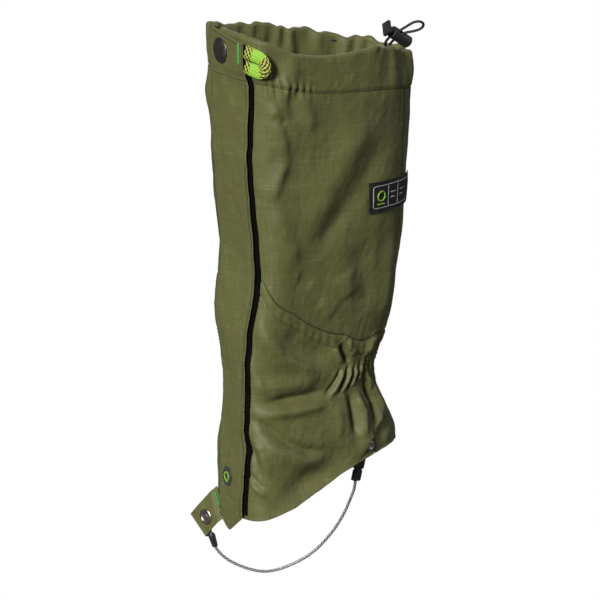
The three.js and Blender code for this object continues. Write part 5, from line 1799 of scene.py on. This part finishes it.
class GAITER_OT_cable_tab(bpy.types.Operator):
    """Makes the folded webbing tab that holds the cable's end"""

    bl_idname = "gaiter.cable_tab"
    bl_label = "Cable Tab"

    def execute(self, context):
        hinge = FOLD_TOP + UPWARD * FOLD_RADIUS
        thick = 0.9
        # Along the webbing: from its sewn end, tucked beside the flap, down the front and round the fold.
        sections = [(k / 46, -LEAF / 2, 0.0) for k in range(46)]
        bend = FOLD_RADIUS - LEAF / 2
        for k in range(17):
            a = math.pi * k / 16
            sections.append((1 + bend * math.sin(a), -FOLD_RADIUS + bend * math.cos(a), a))
        rim = np.array([0, 0.15, 0.4, 0.8])
        widths = np.concatenate([rim, np.linspace(1.4, STRAP_WIDTH - 1.4, 34), STRAP_WIDTH - rim[::-1]])
        fold = hinge - 2 * UPWARD
        outer, inner, flat = [], [], []
        for share, depth, angle in sections:
            row_out, row_in, row_uv = [], [], []
            for w in widths:
                reach = self.reach(fold, w)
                run = reach * (1 - share) if angle == 0 and share < 1 else 1 - share
                point = fold + UPWARD * run + ACROSS * w
                edge = min(w, STRAP_WIDTH - w)
                half = thick / 2 * math.sqrt(max(0, 1 - (1 - min(edge / 0.45, 1)) ** 2)) * min(1, (reach - run) / 0.3)
                sewn = float(groove(np.array(edge - 2.4), 0.7, 0.4)) + float(groove(np.array(run - 1.2), 0.7, 0.25))
                wave = 0.35 * math.sin(w / 4.1 + run / 6) * min(1, max(0, run) / 8)
                shift = sewn + wave if angle == 0 else 0.0
                n = (math.cos(angle), -math.sin(angle))
                tucked = self.tuck(reach - run)
                for row, sign in ((row_out, half), (row_in, -half)):
                    local = point + UPWARD * (n[1] * (sign + shift))
                    row.append(on_tab(local[0], local[1], depth + tucked + n[0] * (sign + shift)))
                row_uv.append((w * MM, (run - depth) * MM))
            outer.append(row_out)
            inner.append(row_in)
            flat.append(row_uv)
        points, faces = closed_sheet(np.array(outer) * MM, np.array(inner) * MM)
        uv = np.array(flat).reshape(-1, 2)
        tab = mesh_object("cable_tab_front", points, faces, np.concatenate([uv, uv]), weld=True)
        finish_piece(tab, "webbing", "body", "body_fabric", "tab_front_leaf")
        self.rear(hinge)
        place = TAB_FRAME.copy()
        place[:3, 3] = on_tab(1.9, 9.4, self.tuck(3.4) + 0.35)
        tack = zigzag(place, 15.0, 2.8, 22, math.radians(-66))
        piece = mesh_object("cable_tab_tack", *join_shapes(tack)[:2])
        finish_piece(piece, "green thread", "body", "bright_thread", "tab_bartack")
        return {"FINISHED"}

    @staticmethod
    def reach(hinge, across):
        """Length of the front leaf from the fold to the flap's edge."""
        return (8.4 - hinge[0] - 0.386 * hinge[1] - 0.456 * across) / 0.97

    @staticmethod
    def tuck(from_end):
        """How far the front leaf goes in as it nears the flap."""
        return -3.4 * (1 - float(smooth(from_end, 0, 9)))

    @staticmethod
    def rear(hinge):
        """The rounded tongue behind, which the snap closes on."""
        spot = SNAP_SPOT - hinge
        reach, middle, half = float(spot @ UPWARD), float(spot @ ACROSS), 8.0
        outline = [(GAP, middle - half), (reach, middle - half)]
        for k in range(25):
            a = -math.pi / 2 + math.pi * k / 24
            outline.append((reach + (half - 0.5) * math.cos(a), middle + half * math.sin(a)))
        outline += [(GAP, middle + half)]
        shape = prism(outline, 0, 0.95, 0.3)
        place = np.identity(4)
        place[:3, 0] = TAB_ALONG * UPWARD[0] + np.array([0, 0, UPWARD[1]])
        place[:3, 1] = TAB_ALONG * ACROSS[0] + np.array([0, 0, ACROSS[1]])
        place[:3, 2] = -TAB_OUT
        place[:3, 3] = on_tab(hinge[0], hinge[1], -LEAF - LEAF_SPACE)
        local = np.array(shape[0])
        uv = local[:, :2] * MM
        moved = placed(shape, place)
        tongue = mesh_object("cable_tab_rear", moved[0], moved[1], uv)
        finish_piece(tongue, "webbing", "tab_leaf", "body_fabric", "tab_rear_leaf")


class GAITER_OT_stitching(bpy.types.Operator):
    """Sews the seams: rows of stitches on the flap, its top, the casing, the panel seam and the back seam"""

    bl_idname = "gaiter.stitching"
    bl_label = "Stitching"

    def execute(self, context):
        pitch = context.scene.gaiter_trim.stitch
        levels, rise = np.linspace(2, 386, 260), np.linspace(393, 420, 30)
        x, left, right = np.linspace(-27.5, 27.5, 60), np.linspace(-20, 0, 30), np.linspace(0, 20, 30)
        cover = lambda a, b: flap_rise(a, b) + GAP + CLOTH
        flap = []
        for places, heights, face in (
            (flap_half(levels) - 3.4, levels, flap_rise),
            (flap_left(levels) + 1.6, levels, flap_rise),
            (x, np.full(x.shape, 391.6), cover),
            (x, np.full(x.shape, 394.2), cover),
            (x, flap_top(x) - 3.1, cover),
            (flap_half(rise) - 3.1, rise, cover),
            (-flap_half(rise) + 3.1, rise, cover),
            (left, flap_foot(left) + 3.2, flap_rise),
            (right, flap_foot(right) + 3.2, flap_rise),
        ):
            flap += self.row(theta_at(places, heights), heights, face(places, heights) - 0.25, pitch)
        piece = mesh_object("flap_stitches", *join_shapes(flap)[:2])
        sewn_edge(finish_piece(piece, "olive thread", "", "body_fabric"))

        theta = np.linspace(float(near_edge(200.0)) + 0.45, float(far_edge(200.0)) - 0.03, 500)
        z = np.linspace(62, 370, 300)
        body = []
        for turns, heights in (
            (theta, casing_foot(theta) + 1.8), (theta, panel_seam(theta) - 12), (back_seam(z) - 4 / 50, z),
        ):
            body += self.row(turns, heights, -0.35, pitch)
        piece = mesh_object("body_stitches", *join_shapes(body)[:2])
        finish_piece(piece, "olive thread", "body", "body_fabric")
        return {"FINISHED"}

    @staticmethod
    def row(theta, z, offset, pitch):
        """Stitches along a line, at an offset from the body's surface."""
        nx, ny = normal(theta, z)
        return stitch_row(cloth_point(theta, z, offset) / MM, np.stack([nx, ny, 0 * nx], -1), pitch)


STEPS = (
    GAITER_OT_stage, GAITER_OT_instep_cable, GAITER_OT_drawcord, GAITER_OT_body_cloth, GAITER_OT_inside,
    GAITER_OT_casing, GAITER_OT_closure, GAITER_OT_snaps, GAITER_OT_pull_loop, GAITER_OT_labels,
    GAITER_OT_cable_tab, GAITER_OT_stitching,
)


class GAITER_PT_panel(bpy.types.Panel):
    """Lists the gaiter's settings and its steps"""

    bl_idname = "GAITER_PT_panel"
    bl_label = "Gaiter"
    bl_space_type = "VIEW_3D"
    bl_region_type = "UI"
    bl_category = "Gaiter"

    def draw(self, context):
        for settings in (context.scene.gaiter_cloth, context.scene.gaiter_trim, context.scene.gaiter_stage):
            box = self.layout.box()
            for key in settings.__annotations__:
                box.prop(settings, key)
        for step in STEPS:
            self.layout.operator(step.bl_idname)


def register():
    for kind in SETTINGS + STEPS + (GAITER_PT_panel,):
        bpy.utils.register_class(kind)
    bpy.types.Scene.gaiter_cloth = PointerProperty(type=GaiterCloth)
    bpy.types.Scene.gaiter_trim = PointerProperty(type=GaiterTrim)
    bpy.types.Scene.gaiter_stage = PointerProperty(type=GaiterStage)


def unregister():
    del bpy.types.Scene.gaiter_stage
    del bpy.types.Scene.gaiter_trim
    del bpy.types.Scene.gaiter_cloth
    for kind in reversed(SETTINGS + STEPS + (GAITER_PT_panel,)):
        bpy.utils.unregister_class(kind)


def main():
    register()
    for step in STEPS:
        area, name = step.bl_idname.split(".")
        getattr(getattr(bpy.ops, area), name)()
    bpy.context.view_layer.update()


if __name__ == "__main__":
    main()
